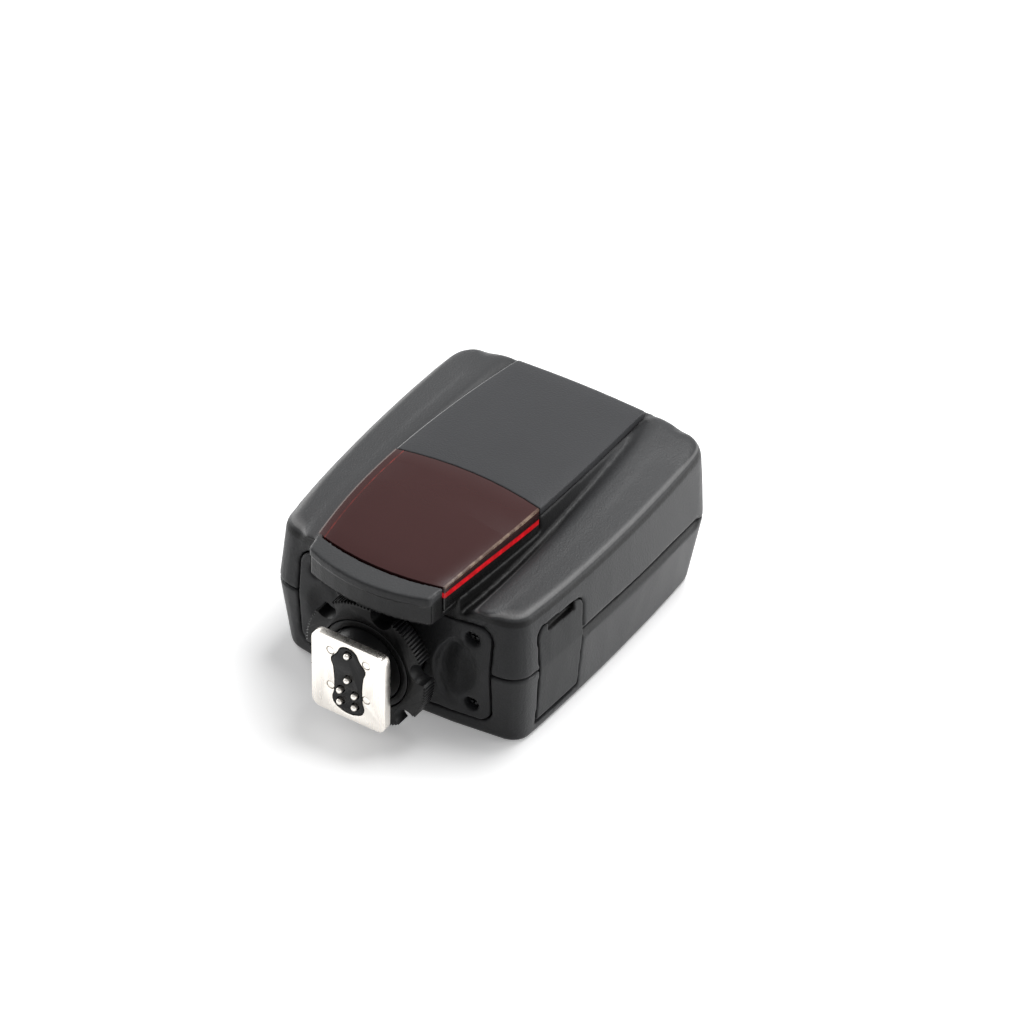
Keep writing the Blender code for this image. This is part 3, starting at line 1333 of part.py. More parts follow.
DOORS = ((1, "port_cover", PORT_COVER_LENGTH), (-1, "battery_door", BATTERY_DOOR_LENGTH))
OPENINGS = {name: door_opening(name + "_opening", side, length) for side, name, length in DOORS}
GROOVES = {
    name: side_groove(name + "_groove", side, DOOR_START_Y + length) for side, name, length in DOORS
}
CASING_FORM = finish_object("casing_form", casing(0.0, 0.0, EDGE_NEAR_HEIGHT - EDGE_ROUND / 2))

window_block(0.0, "red_window")
WINDOW_POCKET = window_block(GAP, "window_pocket")
build_shells(WINDOW_POCKET)
build_panel()
build_visor(WINDOW_POCKET)
build_lamps()
build_cover()
build_screws()
build_foot()
build_clamp()
build_doors()
build_keys()
build_dome_sheet()
build_power_switch()
build_display()
build_status_light()
build_boards()
build_cells()
build_tray()
build_sockets()
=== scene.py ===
# %% [markdown]
# # A hot-shoe flash trigger in the studio
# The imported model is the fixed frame: every solid is already in its place, in metres, and every new piece
# goes where those solids say. The trigger lies on its back, with its shoe foot towards the camera. X runs
# across it, Y from the shoe foot to the far end, and Z up to the face with the window.

# %% Load the frame
import json
import math

import bpy
from mathutils import Matrix, Vector


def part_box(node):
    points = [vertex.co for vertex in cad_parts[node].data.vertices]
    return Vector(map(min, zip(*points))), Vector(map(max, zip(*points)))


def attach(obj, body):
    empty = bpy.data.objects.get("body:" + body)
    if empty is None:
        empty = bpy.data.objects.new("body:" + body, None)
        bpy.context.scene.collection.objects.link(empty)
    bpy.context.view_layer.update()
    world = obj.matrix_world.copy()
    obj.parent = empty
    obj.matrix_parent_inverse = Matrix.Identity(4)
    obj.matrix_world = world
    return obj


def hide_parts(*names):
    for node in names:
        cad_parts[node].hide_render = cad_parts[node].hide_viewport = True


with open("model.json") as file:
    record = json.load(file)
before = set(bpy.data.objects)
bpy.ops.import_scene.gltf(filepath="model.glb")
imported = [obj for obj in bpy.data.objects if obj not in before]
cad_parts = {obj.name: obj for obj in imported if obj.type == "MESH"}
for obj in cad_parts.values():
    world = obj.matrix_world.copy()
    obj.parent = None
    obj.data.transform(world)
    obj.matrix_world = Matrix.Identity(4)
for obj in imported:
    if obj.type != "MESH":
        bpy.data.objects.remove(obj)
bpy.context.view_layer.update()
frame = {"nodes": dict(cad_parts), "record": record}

MM = 0.001
nodes = frame["nodes"]

# %% [markdown]
# ## The camera
# A long lens from above the right front corner flattens the perspective, as in a catalogue picture. The
# view is described by the turn round the object, the height above it and a small roll, and the three
# camera axes follow from these. Setting the axes as a matrix is surer than typing Euler angles.

# %% Camera
turn = math.radians(32.76)
height = math.radians(37.88)
roll = math.radians(1.36)
distance = 0.978
right = Vector((math.cos(turn), math.sin(turn), 0))
up = Vector((-math.sin(turn) * math.sin(height), math.cos(turn) * math.sin(height), math.cos(height)))
back = Vector((math.sin(turn) * math.cos(height), -math.cos(turn) * math.cos(height), math.sin(height)))
rolled_right = math.cos(roll) * right + math.sin(roll) * up
rolled_up = math.cos(roll) * up - math.sin(roll) * right
aim = Vector((0, 8.1 * MM, 25.6 * MM)) + 3.94 * MM * rolled_right + 0.05 * MM * rolled_up
axes_of_view = Matrix((rolled_right, rolled_up, back)).transposed().to_4x4()
camera = bpy.data.objects.new("studio_camera", bpy.data.cameras.new("studio_camera"))
bpy.context.scene.collection.objects.link(camera)
camera.matrix_world = Matrix.Translation(aim + distance * back) @ axes_of_view
camera.data.lens = 160.6
camera.data.sensor_width = 36
camera.data.clip_start = 0.01
bpy.context.scene.camera = camera
print("camera at", [round(x, 3) for x in camera.location])

# %% [markdown]
# ## Shader sums
# A finish is easier to read as a sum than as a web of nodes. `Wire` wraps one output socket, and adding,
# multiplying or comparing wires adds Math nodes. The reflected forms let a plain number stand first, as in
# `1 - mask`. Placing every node by hand gives the same finish, but nobody can read the sum back from it.

# %% Wires
class Wire:
    def __init__(self, tree, socket):
        self.tree = tree
        self.socket = socket

    def math(self, operation, first, second):
        node = self.tree.nodes.new("ShaderNodeMath")
        node.operation = operation
        for place, value in enumerate((first, second)):
            if isinstance(value, Wire):
                self.tree.links.new(value.socket, node.inputs[place])
            else:
                node.inputs[place].default_value = value
        return Wire(self.tree, node.outputs[0])

    def __add__(self, other):
        return self.math("ADD", self, other)

    def __radd__(self, other):
        return self.math("ADD", other, self)

    def __sub__(self, other):
        return self.math("SUBTRACT", self, other)

    def __rsub__(self, other):
        return self.math("SUBTRACT", other, self)

    def __mul__(self, other):
        return self.math("MULTIPLY", self, other)

    def __rmul__(self, other):
        return self.math("MULTIPLY", other, self)

    def __truediv__(self, other):
        return self.math("DIVIDE", self, other)

    def __abs__(self):
        return self.math("ABSOLUTE", self, 0.0)

    def __gt__(self, other):
        return self.math("GREATER_THAN", self, other)

    def __lt__(self, other):
        return self.math("LESS_THAN", self, other)


print("wires ready")

# %% [markdown]
# `Finish` holds one material, or the world. Its `add` makes any other node from its type, its settings and
# what goes into its sockets. The short methods after it are the few nodes that nearly every finish needs.

# %% Finishes
class Finish:
    def __init__(self, name, owner=None):
        self.material = owner or bpy.data.materials.new(name)
        self.material.use_nodes = True
        self.tree = self.material.node_tree
        self.tree.nodes.clear()

    def add(self, kind, settings=None, sockets=None, out=0):
        node = self.tree.nodes.new("ShaderNode" + kind)
        for key, value in (settings or {}).items():
            setattr(node, key, value)
        for key, value in (sockets or {}).items():
            if isinstance(value, Wire):
                self.tree.links.new(value.socket, node.inputs[key])
            else:
                node.inputs[key].default_value = value
        return Wire(self.tree, node.outputs[out]) if node.outputs else None

    def place(self):
        return self.add("TexCoord", out="Object")

    def noise(self, scale, detail=3.0, place=None):
        sockets = {"Vector": place or self.place(), "Scale": scale, "Detail": detail}
        return self.add("TexNoise", sockets=sockets)

    def step(self, wire, low, high):
        settings = {"interpolation_type": "SMOOTHSTEP"}
        return self.add("MapRange", settings, {"Value": wire, "From Min": low, "From Max": high})

    def blend(self, share, first, second):
        sockets = {0: share, 6: first, 7: second}
        return self.add("Mix", {"data_type": "RGBA"}, sockets, out=2)

    def bump(self, wire, strength, depth):
        return self.add("Bump", sockets={"Height": wire, "Strength": strength, "Distance": depth})

    def surface(self, **sockets):
        named = {key.replace("_", " "): value for key, value in sockets.items()}
        shader = self.add("BsdfPrincipled", sockets=named)
        return self.output(shader)

    def output(self, shader):
        kind = "OutputMaterial" if self.material.id_type == "MATERIAL" else "OutputWorld"
        self.add(kind, sockets={"Surface": shader})
        return self.material


def tint(red, green, blue):
    return (red, green, blue, 1.0)


def grey(tone):
    return tint(tone, tone, tone)


def shade(tone, share):
    return tint(*(channel * share for channel in tone))


print("finishes ready")

# %% [markdown]
# ## Floor and light
# The trigger lies on a seamless white sweep. A white floor lit until it clips would also flood the object's
# lower faces. So the floor glows a little, only to the camera and in reflections, and is matt white under the
# glow, which keeps the soft contact shadow. To light that bounces it is a dark grey, so the sides stay dark.

# %% Floor
bpy.ops.object.select_all(action="DESELECT")
bpy.ops.mesh.primitive_plane_add(size=6, location=(0, 0, -0.02 * MM))
floor = bpy.context.object
floor.name = "floor"
sweep = Finish("white_sweep")
by_eye = sweep.add("LightPath", out="Is Camera Ray")
by_gloss = sweep.add("LightPath", out="Is Glossy Ray")
bounced = sweep.add("LightPath", out="Is Diffuse Ray")
matt = sweep.add("BsdfDiffuse", sockets={"Color": sweep.blend(bounced, grey(1.0), grey(0.1))})
glow = sweep.add("Emission", sockets={"Color": grey(1.0), "Strength": 0.26 * by_eye + 0.45 * by_gloss})
floor.data.materials.append(sweep.output(sweep.add("AddShader", sockets={0: matt, 1: glow})))
print("floor laid")

# %% [markdown]
# The room is white to the camera, in reflections and through clear parts, and a weak cool light to all else.
# Three round soft boxes give the form: one above and behind for the top faces, and a low one on each side for
# the edges. Spot lamps would be simpler, but their hard shadows hide the shallow relief of a black object.

# %% World and lamps
world = bpy.data.worlds.new("studio")
bpy.context.scene.world = world
room = Finish("studio", world)
seen = room.add("LightPath", out="Is Camera Ray")
mirrored = room.add("LightPath", out="Is Glossy Ray")
through = room.add("LightPath", out="Is Transmission Ray")
white = room.add("Background", sockets={"Color": grey(1.0), "Strength": 1.0})
ambient = room.add("Background", sockets={"Color": tint(0.97, 0.98, 1.0), "Strength": 0.15})
shown = room.add("MixShader", sockets={0: seen + 0.62 * mirrored + through, 1: ambient, 2: white})
room.output(shown)


def soft_box(name, place, target, size, power):
    lamp = bpy.data.objects.new(name, bpy.data.lights.new(name, "AREA"))
    bpy.context.scene.collection.objects.link(lamp)
    lamp.location = place
    lamp.rotation_euler = (Vector(target) - Vector(place)).to_track_quat("-Z", "Y").to_euler()
    lamp.data.shape = "DISK"
    lamp.data.size = size
    lamp.data.energy = power


soft_box("rear_box", (0.1, 0.42, 1.0), (0, 0, 0), 0.6, 9.5)
soft_box("right_box", (0.95, 0.55, 0.32), (0, 0, 0.02), 0.8, 6.5)
soft_box("left_box", (-1.0, 0.25, 0.34), (0, 0, 0), 0.9, 7.5)
bpy.context.scene.view_settings.view_transform = "Standard"
print("lamps:", len(bpy.data.lights))

# %% [markdown]
# ## Lines that the mouldings share
# The panel's long sides are slightly bowed, the tops of panel, visor and window lie on one arch, and the outer
# edge of the casing climbs towards the far end. Each line could be typed again wherever it is needed. Here it
# is written once, in millimetres: a wire takes the same sums as a number, so one function serves both the
# finishes and the shaping of vertices.

# %% Shared lines
PANEL_HALF = 18.25               # half the panel's width at Y = 0
NEAR_BOW, FAR_BOW = 488, 960     # the sides draw in by Y squared over this, towards the foot and the far end
CROWN_TOP, CROWN_Y = 41.4, -11.9  # height of the arch, and its place along the body
NEAR_ARCH, FAR_ARCH = 338, 1362  # the arch falls by the run squared over this, on either side
NEAR_END, CASE_LENGTH = -31.9, 79
EDGE_NEAR, EDGE_RISE = 32.3, 4.5  # height of the casing's outer edge near the foot, and its climb


def panel_half(y):
    return PANEL_HALF - y * y * ((y < 0.0) / NEAR_BOW + (y > 0.0) / FAR_BOW)


def below_crown(y, z):
    run = y - CROWN_Y
    return CROWN_TOP - run * run * ((run < 0.0) / NEAR_ARCH + (run > 0.0) / FAR_ARCH) - z


def case_edge(y):
    return EDGE_NEAR + EDGE_RISE * (y - NEAR_END) / CASE_LENGTH


print("panel width:", 2 * panel_half(0.0), "mm, far edge:", case_edge(NEAR_END + CASE_LENGTH), "mm")

# %% [markdown]
# ## Moulded plastics
# The casing is injection-moulded in a fine spark-eroded texture: a matt dark grey with a grain of a few tenths
# of a millimetre. A picture of the texture would need a map on every piece. Two noises as a bump need none and
# suit all pieces alike, and a slow change in tone and gloss keeps a face from looking dead flat.

# %% Moulded plastic
def moulded(name, tone, roughness, grain_depth, grain=2400.0, marks=None):
    finish = Finish(name)
    where = finish.place()
    fine = finish.noise(grain, 2.0, where)
    pebble = finish.add("TexVoronoi", sockets={"Vector": where, "Scale": grain * 0.9})
    slow = finish.noise(45.0, 2.0, where)
    colour = finish.blend(slow, shade(tone, 0.9), shade(tone, 1.1))
    for share, mark in marks(finish, where) if marks else ():
        colour = finish.blend(share, colour, mark)
    return finish.surface(
        Base_Color=colour,
        Roughness=roughness + 0.10 * (fine - 0.5) + 0.08 * (slow - 0.5),
        Normal=finish.bump(fine + 0.6 * pebble, 0.9, grain_depth * MM),
        Specular_IOR_Level=0.22,
    )


print("moulded plastic ready")

# %% [markdown]
# The mouldings carry thin lines of light and dark: a painted highlight on the outer edge, on the panel's left
# edge and above the side groove, and painted shade under an edge, in the side groove, in the valley beside the
# panel, under the visor's brow and in the port cover's notch. As geometry, each would need rows of vertices a
# tenth of a millimetre apart. They are painted by place instead, as bands beside the shared lines, and so they
# stay put when the lamps move.

# %% Painted light and shade by place
def axes(finish, where):
    return [finish.add("SeparateXYZ", sockets={0: where}, out=axis) / MM for axis in "XYZ"]


def band(finish, wire, low, high, soft):
    return finish.step(wire, low - soft, low + soft) * (1 - finish.step(wire, high - soft, high + soft))


def painted_panel_edge_highlight(finish, where):
    x, y, _ = axes(finish, where)
    # Painted highlight: a thin light line along the panel's left edge, where the edge catches the light.
    left_edge_highlight = band(finish, x + panel_half(y), -0.2, 0.35, 0.1)
    return [(0.9 * left_edge_highlight, grey(0.26))]


def painted_case_light_and_shade(finish, where):
    x, y, z = axes(finish, where)
    beside_panel = abs(x) - panel_half(y)
    over_edge = z - case_edge(y)
    # Painted shade: a dark band just under the casing's outer edge.
    under_edge_shade = band(finish, over_edge, -2.1, -0.9, 0.3)
    # Painted highlight: a light line on the upper part of the outer edge's rounding.
    outer_edge_highlight = band(finish, over_edge, -0.5, -0.1, 0.12)
    groove = finish.step(abs(x), 27.2, 28.3) * band(finish, y, -6.8, 39.5, 0.6)
    # Painted highlight: a light strip along the upper side of the side groove.
    groove_top_highlight = groove * band(finish, z, 18.2, 19.2, 0.2)
    # Painted shade: a dark strip along the floor of the side groove.
    groove_floor_shade = groove * band(finish, z, 15.8, 17.3, 0.3)
    # Painted shade: the valley beside the panel is darkened, less so towards the far end.
    fading = 1 - 0.75 * finish.step(y, -12.0, 30.0)
    valley = (1 - finish.step(beside_panel, 1.5, 3.4)) * fading * finish.step(z, 28.0, 29.0)
    return [
        (0.85 * under_edge_shade, grey(0.012)),
        (0.9 * outer_edge_highlight, grey(0.17)),
        (0.9 * groove_top_highlight, grey(0.13)),
        (0.95 * valley, grey(0.003)),
        (0.8 * groove_floor_shade, grey(0.03)),
    ]


def painted_notch_shade(finish, where):
    _, y, z = axes(finish, where)
    # Painted shade: the nail notch at the top of the port cover is painted nearly black, as its shaded recess.
    notch = band(finish, y, -19.1, -9.7, 0.1) * finish.step(z, 25.65, 25.8)
    return [(notch, grey(0.002))]


def painted_brow_shade(finish, where):
    x, y, z = axes(finish, where)
    drop = below_crown(y, z)
    # Painted shade under the visor's brow: the lower front, the two flanks, and a shadow line under the lip.
    lower_front_shade = finish.step(drop, 2.0, 2.4)
    flank_shade = finish.step(abs(x), 15.0, 15.5) * finish.step(drop, 1.4, 2.0)
    lip_shadow = band(finish, drop, 2.05, 2.3, 0.1)
    return [(0.5 * lower_front_shade, grey(0.022)), (0.95 * flank_shade, grey(0.004)), (0.85 * lip_shadow, grey(0.01))]


print("marks ready")

# %% [markdown]
# All black plastics of the trigger come from the one recipe. They differ in tone, gloss and depth of grain:
# the casing and its cover are the lightest, the foot is nearly black, and the keys are a fine-grained rubber.

# %% Plastics of the trigger
case_plastic = moulded("case_plastic", (0.054, 0.055, 0.057), 0.44, 0.06, marks=painted_case_light_and_shade)
panel_plastic = moulded("panel_plastic", (0.047, 0.048, 0.051), 0.44, 0.05, marks=painted_panel_edge_highlight)
cover_plastic = moulded("cover_plastic", (0.062, 0.063, 0.065), 0.46, 0.05)
flap_plastic = moulded("flap_plastic", (0.026, 0.027, 0.028), 0.5, 0.06, marks=painted_notch_shade)
visor_plastic = moulded("visor_plastic", (0.058, 0.059, 0.061), 0.36, 0.05, marks=painted_brow_shade)
foot_plastic = moulded("foot_plastic", (0.010, 0.010, 0.0105), 0.4, 0.03)
inner_plastic = moulded("inner_plastic", (0.012, 0.012, 0.013), 0.6, 0.03)
key_rubber = moulded("key_rubber", (0.03, 0.03, 0.032), 0.6, 0.02, grain=5200.0)
print("plastics made")

# %% [markdown]
# ## Metals
# The metal parts are plated or drawn, and fine marks run in one direction. An anisotropic shader could show
# that, but the exported model would lose it. So the noise is stretched along that direction before it
# becomes bump and roughness.

# %% Drawn and plated metals
def drawn_metal(name, tone, roughness, stretch):
    finish = Finish(name)
    lines = finish.add("Mapping", sockets={"Vector": finish.place(), "Scale": stretch})
    marks = finish.noise(900.0, 4.0, lines)
    cloud = finish.noise(260.0)
    return finish.surface(
        Base_Color=finish.blend(cloud, shade(tone, 0.93), shade(tone, 1.0)),
        Metallic=1.0,
        Roughness=roughness + 0.14 * (marks - 0.5) + 0.1 * (cloud - 0.5),
        Normal=finish.bump(marks, 0.12, 0.02 * MM),
    )


nickel = drawn_metal("nickel", (0.93, 0.89, 0.83), 0.28, (1.0, 1.0, 0.02))
steel = drawn_metal("steel", (0.42, 0.42, 0.43), 0.34, (1.0, 0.05, 1.0))
brass = drawn_metal("brass", (0.78, 0.56, 0.26), 0.32, (1.0, 0.02, 1.0))
dome_metal = drawn_metal("dome_metal", (0.7, 0.7, 0.68), 0.36, (1.0, 1.0, 1.0))
screw_black = drawn_metal("screw_black", (0.06, 0.06, 0.062), 0.38, (1.0, 0.05, 1.0))
print("metals made")

# %% [markdown]
# ## The red window
# The window is a smoked red plastic, dark on its face. Along its side skirts the light passes through and a
# narrow band shows bright red, and its rims catch small glints. Glass with colour in its depth would be truer,
# but it is slow and noisy on so thin a skirt. So this light is painted along the arch: the red band, with a weak
# glow that stands for the light coming through, a painted shade band above it, painted shade below the skirts,
# painted glints on the right rim, a painted highlight on the left edge and a painted reflection inside it.

# %% Smoked red
def smoked_red():
    finish = Finish("smoked_red")
    where = finish.place()
    x, y, z = axes(finish, where)
    cloud = finish.noise(160.0, 2.0, where)
    glints = finish.step(finish.noise(420.0, 3.0, where), 0.42, 0.62)
    depth = below_crown(y, z)
    from_skirt_end = depth - (4.1 + 0.038 * y)
    # Painted shade: below the end of the skirts the window is painted nearly black.
    beyond_skirt_shade = finish.step(from_skirt_end, -0.1, 0.2)
    # Painted light: the bright red band where light comes through the skirt.
    lit = finish.step(from_skirt_end + 1.2, -0.25, 0.2) * (1 - beyond_skirt_shade)
    shaded = finish.step(depth, 0.7, 1.3)
    from_right = panel_half(y) - x
    from_left = x + PANEL_HALF - y * y / NEAR_BOW
    # Painted highlight: broken glints along the top of the window's right rim.
    rim_glint = (1 - finish.step(from_right, 0.3, 0.6)) * band(finish, depth, 0.0, 0.5, 0.1)
    # Painted reflection: a thin broken red line inside the left edge, the reflection of the window's inner side
    # wall.
    inner_wall_reflection = band(finish, from_left, 1.7, 2.0, 0.1) * (1 - shaded)
    # Painted highlight: a thin light line along the window's left edge.
    edge = band(finish, from_left, -0.2, 0.3, 0.1) * (1 - shaded)
    colour = finish.blend(cloud, tint(0.038, 0.0055, 0.005), tint(0.042, 0.0065, 0.006))
    for share, mark in (
        (shaded, tint(0.02, 0.003, 0.003)),
        (lit, tint(0.62, 0.004, 0.008)),
        (rim_glint * (0.35 + 0.65 * glints), tint(0.42, 0.30, 0.22)),
        (inner_wall_reflection * (0.25 + 0.6 * glints), tint(0.2, 0.02, 0.014)),
        (0.8 * edge, tint(0.24, 0.2, 0.19)),
        (beyond_skirt_shade, grey(0.006)),
    ):
        colour = finish.blend(share, colour, mark)
    return finish.surface(
        Base_Color=colour,
        # Painted light: a weak glow on the red band stands for the light coming through the skirt.
        Emission_Color=finish.blend(lit * (0.4 + 0.6 * glints), grey(0.0), tint(0.9, 0.008, 0.02)),
        Emission_Strength=0.4,
        Roughness=0.24 + 0.02 * cloud,
        Specular_IOR_Level=0.36,
    )


window_red = smoked_red()
print("window made")

# %% [markdown]
# ## Boards, display and cells
# These sit inside or on the back. A circuit board shows the weave of its glass fibre under green lacquer: two
# crossed waves are enough for that. The lens, display, lamps and cell sleeves are smooth, and a slow cloud in
# tone and gloss is all that the eye finds on them.

# %% Boards, display and cells
def board_green():
    finish = Finish("board_green")
    where = finish.place()
    threads = [
        finish.add("TexWave", {"wave_type": "BANDS", "bands_direction": axis}, {"Vector": where, "Scale": 900.0})
        for axis in "XY"
    ]
    return finish.surface(
        Base_Color=finish.blend(threads[0] * threads[1], tint(0.01, 0.07, 0.035), tint(0.018, 0.11, 0.05)),
        Roughness=0.3 + 0.2 * threads[0],
    )


def plain_gloss(name, tone, roughness, **more):
    finish = Finish(name)
    cloud = finish.noise(220.0)
    return finish.surface(
        Base_Color=finish.blend(cloud, shade(tone, 0.88), shade(tone, 1.0)),
        Roughness=roughness + 0.06 * cloud,
        **more,
    )


board = board_green()
lens_black = plain_gloss("lens_black", (0.012, 0.013, 0.014), 0.06, Coat_Weight=0.6)
display_green = plain_gloss("display_green", (0.34, 0.40, 0.24), 0.35)
lamp_clear = plain_gloss("lamp_clear", (0.75, 0.72, 0.66), 0.1)
cell_sleeve = plain_gloss("cell_sleeve", (0.05, 0.09, 0.2), 0.25)
print("all finishes made")

# %% [markdown]
# ## Dressing the solids
# A solid whose shape is right keeps its mesh and only gets its finish. The record says which slot each
# solid belongs to, so one table from slot to finish dresses them all.

# %% Dress the carried-over solids
finishes = {
    "case": case_plastic, "window": window_red, "inner_black": inner_plastic, "led": lamp_clear, "board": board,
    "steel": steel, "foot_black": foot_plastic, "nickel": nickel, "key": key_rubber, "dome": dome_metal,
    "lens": lens_black, "display": display_green, "brass": brass, "cell": cell_sleeve,
}
slot_of = {part["node"]: part["material_slot"] for part in frame["record"]["subparts"]}
for name, node in nodes.items():
    node.data.materials.clear()
    node.data.materials.append(finishes[slot_of[name]])
print("dressed:", len(slot_of))

# %% [markdown]
# ## Working on a piece
# Operators act on what is selected, and the loaded solids start out selected. These helpers pick one piece,
# copy a mesh, merge a solid's loose triangles, put on a modifier and apply it, and hand a finished piece over
# to its body.

# %% Workshop helpers
def only(piece):
    if bpy.context.mode != "OBJECT":
        bpy.ops.object.mode_set(mode="OBJECT")
    bpy.ops.object.select_all(action="DESELECT")
    piece.select_set(True)
    bpy.context.view_layer.objects.active = piece


def own_copy(source, name):
    piece = bpy.data.objects.new(name, source.data.copy())
    bpy.context.scene.collection.objects.link(piece)
    return piece


def merged_copy(node, name):
    piece = own_copy(nodes[node], name)
    only(piece)
    bpy.ops.object.mode_set(mode="EDIT")
    bpy.ops.mesh.select_all(action="SELECT")
    bpy.ops.mesh.remove_doubles(threshold=1e-6)
    bpy.ops.object.mode_set(mode="OBJECT")
    return piece


def work(piece, kind, **settings):
    only(piece)
    modifier = piece.modifiers.new("work", kind)
    for key, value in settings.items():
        setattr(modifier, key, value)
    bpy.ops.object.modifier_apply(modifier=modifier.name)


def hand_over(piece, body, slot, finish, *replaced):
    piece.data.materials.clear()
    piece.data.materials.append(finish)
    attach(piece, body)
    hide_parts(*replaced)
    print(piece.name, "faces:", len(piece.data.polygons))


body_of = {name: body for body, names in frame["record"]["behaviour"]["bodies"].items() for name in names}
print("helpers ready")

# %% [markdown]
# ## Shaping by a rule
# Some forms follow a rule of place: a ridge that grows along the body, a rim that is steep on one side only.
# By hand one would select a patch and push it with proportional editing. A rule in millimetres does the same
# and repeats exactly: `area` weighs the vertices for a modifier, and `reshape` moves one coordinate of each.

# %% Rules of place
def ramp(value, low, high):
    return max(0.0, min(1.0, (value - low) / (high - low)))


def ease(share):
    share = max(0.0, min(1.0, share))
    return share * share * (3 - 2 * share)


def area(piece, name, weight):
    group = piece.vertex_groups.new(name=name)
    for vertex in piece.data.vertices:
        share = weight(*(axis / MM for axis in vertex.co))
        if share > 0.01:
            group.add([vertex.index], min(share, 1.0), "REPLACE")
    return name


def reshape(piece, rule):
    places = [[axis / MM for axis in vertex.co] for vertex in piece.data.vertices]
    normals = [vertex.normal.copy() for vertex in piece.data.vertices]
    for place, normal in zip(places, normals):
        axis, value = rule(*place, normal) or (0, place[0])
        place[axis] = value
    piece.data.vertices.foreach_set("co", [axis * MM for place in places for axis in place])
    piece.data.update()


def soften(piece, rounds, **where):
    work(piece, "SMOOTH", factor=0.5, iterations=rounds, **where)


print("rules ready")

# %% [markdown]
# ## The moulded casing
# A moulding has no knife edges: every corner carries a small radius. Bevelling hundreds of edges by hand would
# take long, so each solid's copy is remeshed in fine voxels and smoothed a little, which rounds all edges alike.
# At the end, needless triangles are taken out of the flat faces.

# %% Casting
def cast(node, voxel, rounds):
    piece = merged_copy(node, node + "_moulded")
    work(piece, "REMESH", mode="VOXEL", voxel_size=voxel * MM)
    soften(piece, rounds)
    return piece


def settle(piece, keep):
    work(piece, "DECIMATE", ratio=keep)
    only(piece)
    bpy.ops.object.shade_smooth()
    piece.vertex_groups.clear()


print("casting ready")

# %% [markdown]
# The front half has shoulders that roll softly down to the panel. Smoothing the solid's plain shoulder gives no
# such roll, so a rule draws it: from a valley at the panel up to a ridge, and from there down to the outer edge.
# The ridge and both ends of the shoulders are then smoothed more than the rest.

# %% Front half
CASE_HALF, WIDEST_Y, CASE_BOW = 33.2, 20, 732  # half the casing's width, where it is widest, and its bow


def ridge_share(x, y, z):
    out = abs(x) - panel_half(y)
    return ramp(out, 0.4, 1.2) * (1 - ramp(out, 6.0, 10.0)) * ramp(z, 28.5, 30.5)


def ends_share(x, y, z):
    along = max(ramp(y, 33, 39), 0.5 * ramp(-y, 24, 28))
    return along * ramp(z, 29.5, 31) * ramp(abs(x) - panel_half(y), 0.4, 1.2)


def rolled_ridge(x, y, z, normal):
    out = abs(x) - panel_half(y)
    if not (0.8 < out < 7.5 and normal.z > 0.02 and z > 27.5 and -31 < y < 45):
        return None
    share = (y - NEAR_END) / CASE_LENGTH
    edge = case_edge(y)
    ridge = edge + 0.3 + 2.0 * share
    valley = ridge - 2.2 + 1.6 * share
    outer = CASE_HALF - (y - WIDEST_Y) ** 2 / CASE_BOW
    inner = panel_half(y) + 2.7
    shoulder = edge + (ridge - edge) * ramp(outer - abs(x), 0, outer - inner)
    rolled = valley + (shoulder - valley) * ease((out - 1.0) / 3.2)
    return 2, z + (rolled - z) * ramp(y, -31, -28.5) * (1 - ramp(y, 41, 45))


front = cast("front_shell", 0.42, 5)
reshape(front, rolled_ridge)
soften(front, 26, vertex_group=area(front, "ridge", ridge_share))
soften(front, 60, vertex_group=area(front, "ends", ends_share))
settle(front, 0.42)
hand_over(front, "body", "case", case_plastic, "front_shell")

# %% [markdown]
# The back half is cast in the same voxels, so that both halves meet at the seam with the same small radius.
# The port cover and the battery door are thin and small. They get finer voxels, or their edges would round away.

# %% Back half and side doors
rear = cast("rear_shell", 0.42, 5)
settle(rear, 0.42)
hand_over(rear, "body", "case", case_plastic, "rear_shell")
for node, finish in (("port_cover", flap_plastic), ("battery_door", cover_plastic)):
    door = cast(node, 0.28, 4)
    settle(door, 0.5)
    hand_over(door, body_of[node], "case", finish, node)

# %% [markdown]
# ## The visor
# The visor is the brow over the window's near end. Its top follows the arch, its upper front edge is rolled over
# more than its other edges, and under the lip the front steps back a little. A Boolean could cut that step, but
# its edges would have to follow the curved front, so a rule moves the lower front back instead.

# %% Visor
def brow_share(x, y, z):
    front_line = -38.5 + 0.009 * x * x
    return ramp(z, 37.0, 38.2) * (1 - ramp(y, front_line, front_line + 2.0))


def lip_step(x, y, z, normal):
    if normal.y < -0.35:
        return 1, y + 0.4 * ramp(below_crown(y, z), 2.0, 2.25)
    return None


visor = cast("visor", 0.25, 3)
reshape(visor, lip_step)
soften(visor, 14, vertex_group=area(visor, "brow", brow_share))
settle(visor, 0.6)
hand_over(visor, "body", "case", visor_plastic, "visor")

# %% [markdown]
# ## The foot cover
# The foot cover has two finger dishes beside the wheel. Their inner rim is crisp and their outer side runs out
# softly into the face. Smoothing alone softens both, so the outer side is smoothed hard, and a rule then makes
# the inner rim steep again, along a curve round the wheel.

# %% Foot cover
AXIS_HEIGHT = 16.1  # of the clamp wheel
DISH_HEIGHT = 15.5  # of the middle of the dishes' rims


def dish_share(x, y, z):
    inside = ramp(abs(x), 14.5, 18.0) * (1 - ramp(abs(x), 23.2, 23.8))
    return inside * (1 - ramp(abs(z - AXIS_HEIGHT), 9.0, 11.0)) * (1 - ramp(y, -28.5, -27.5))


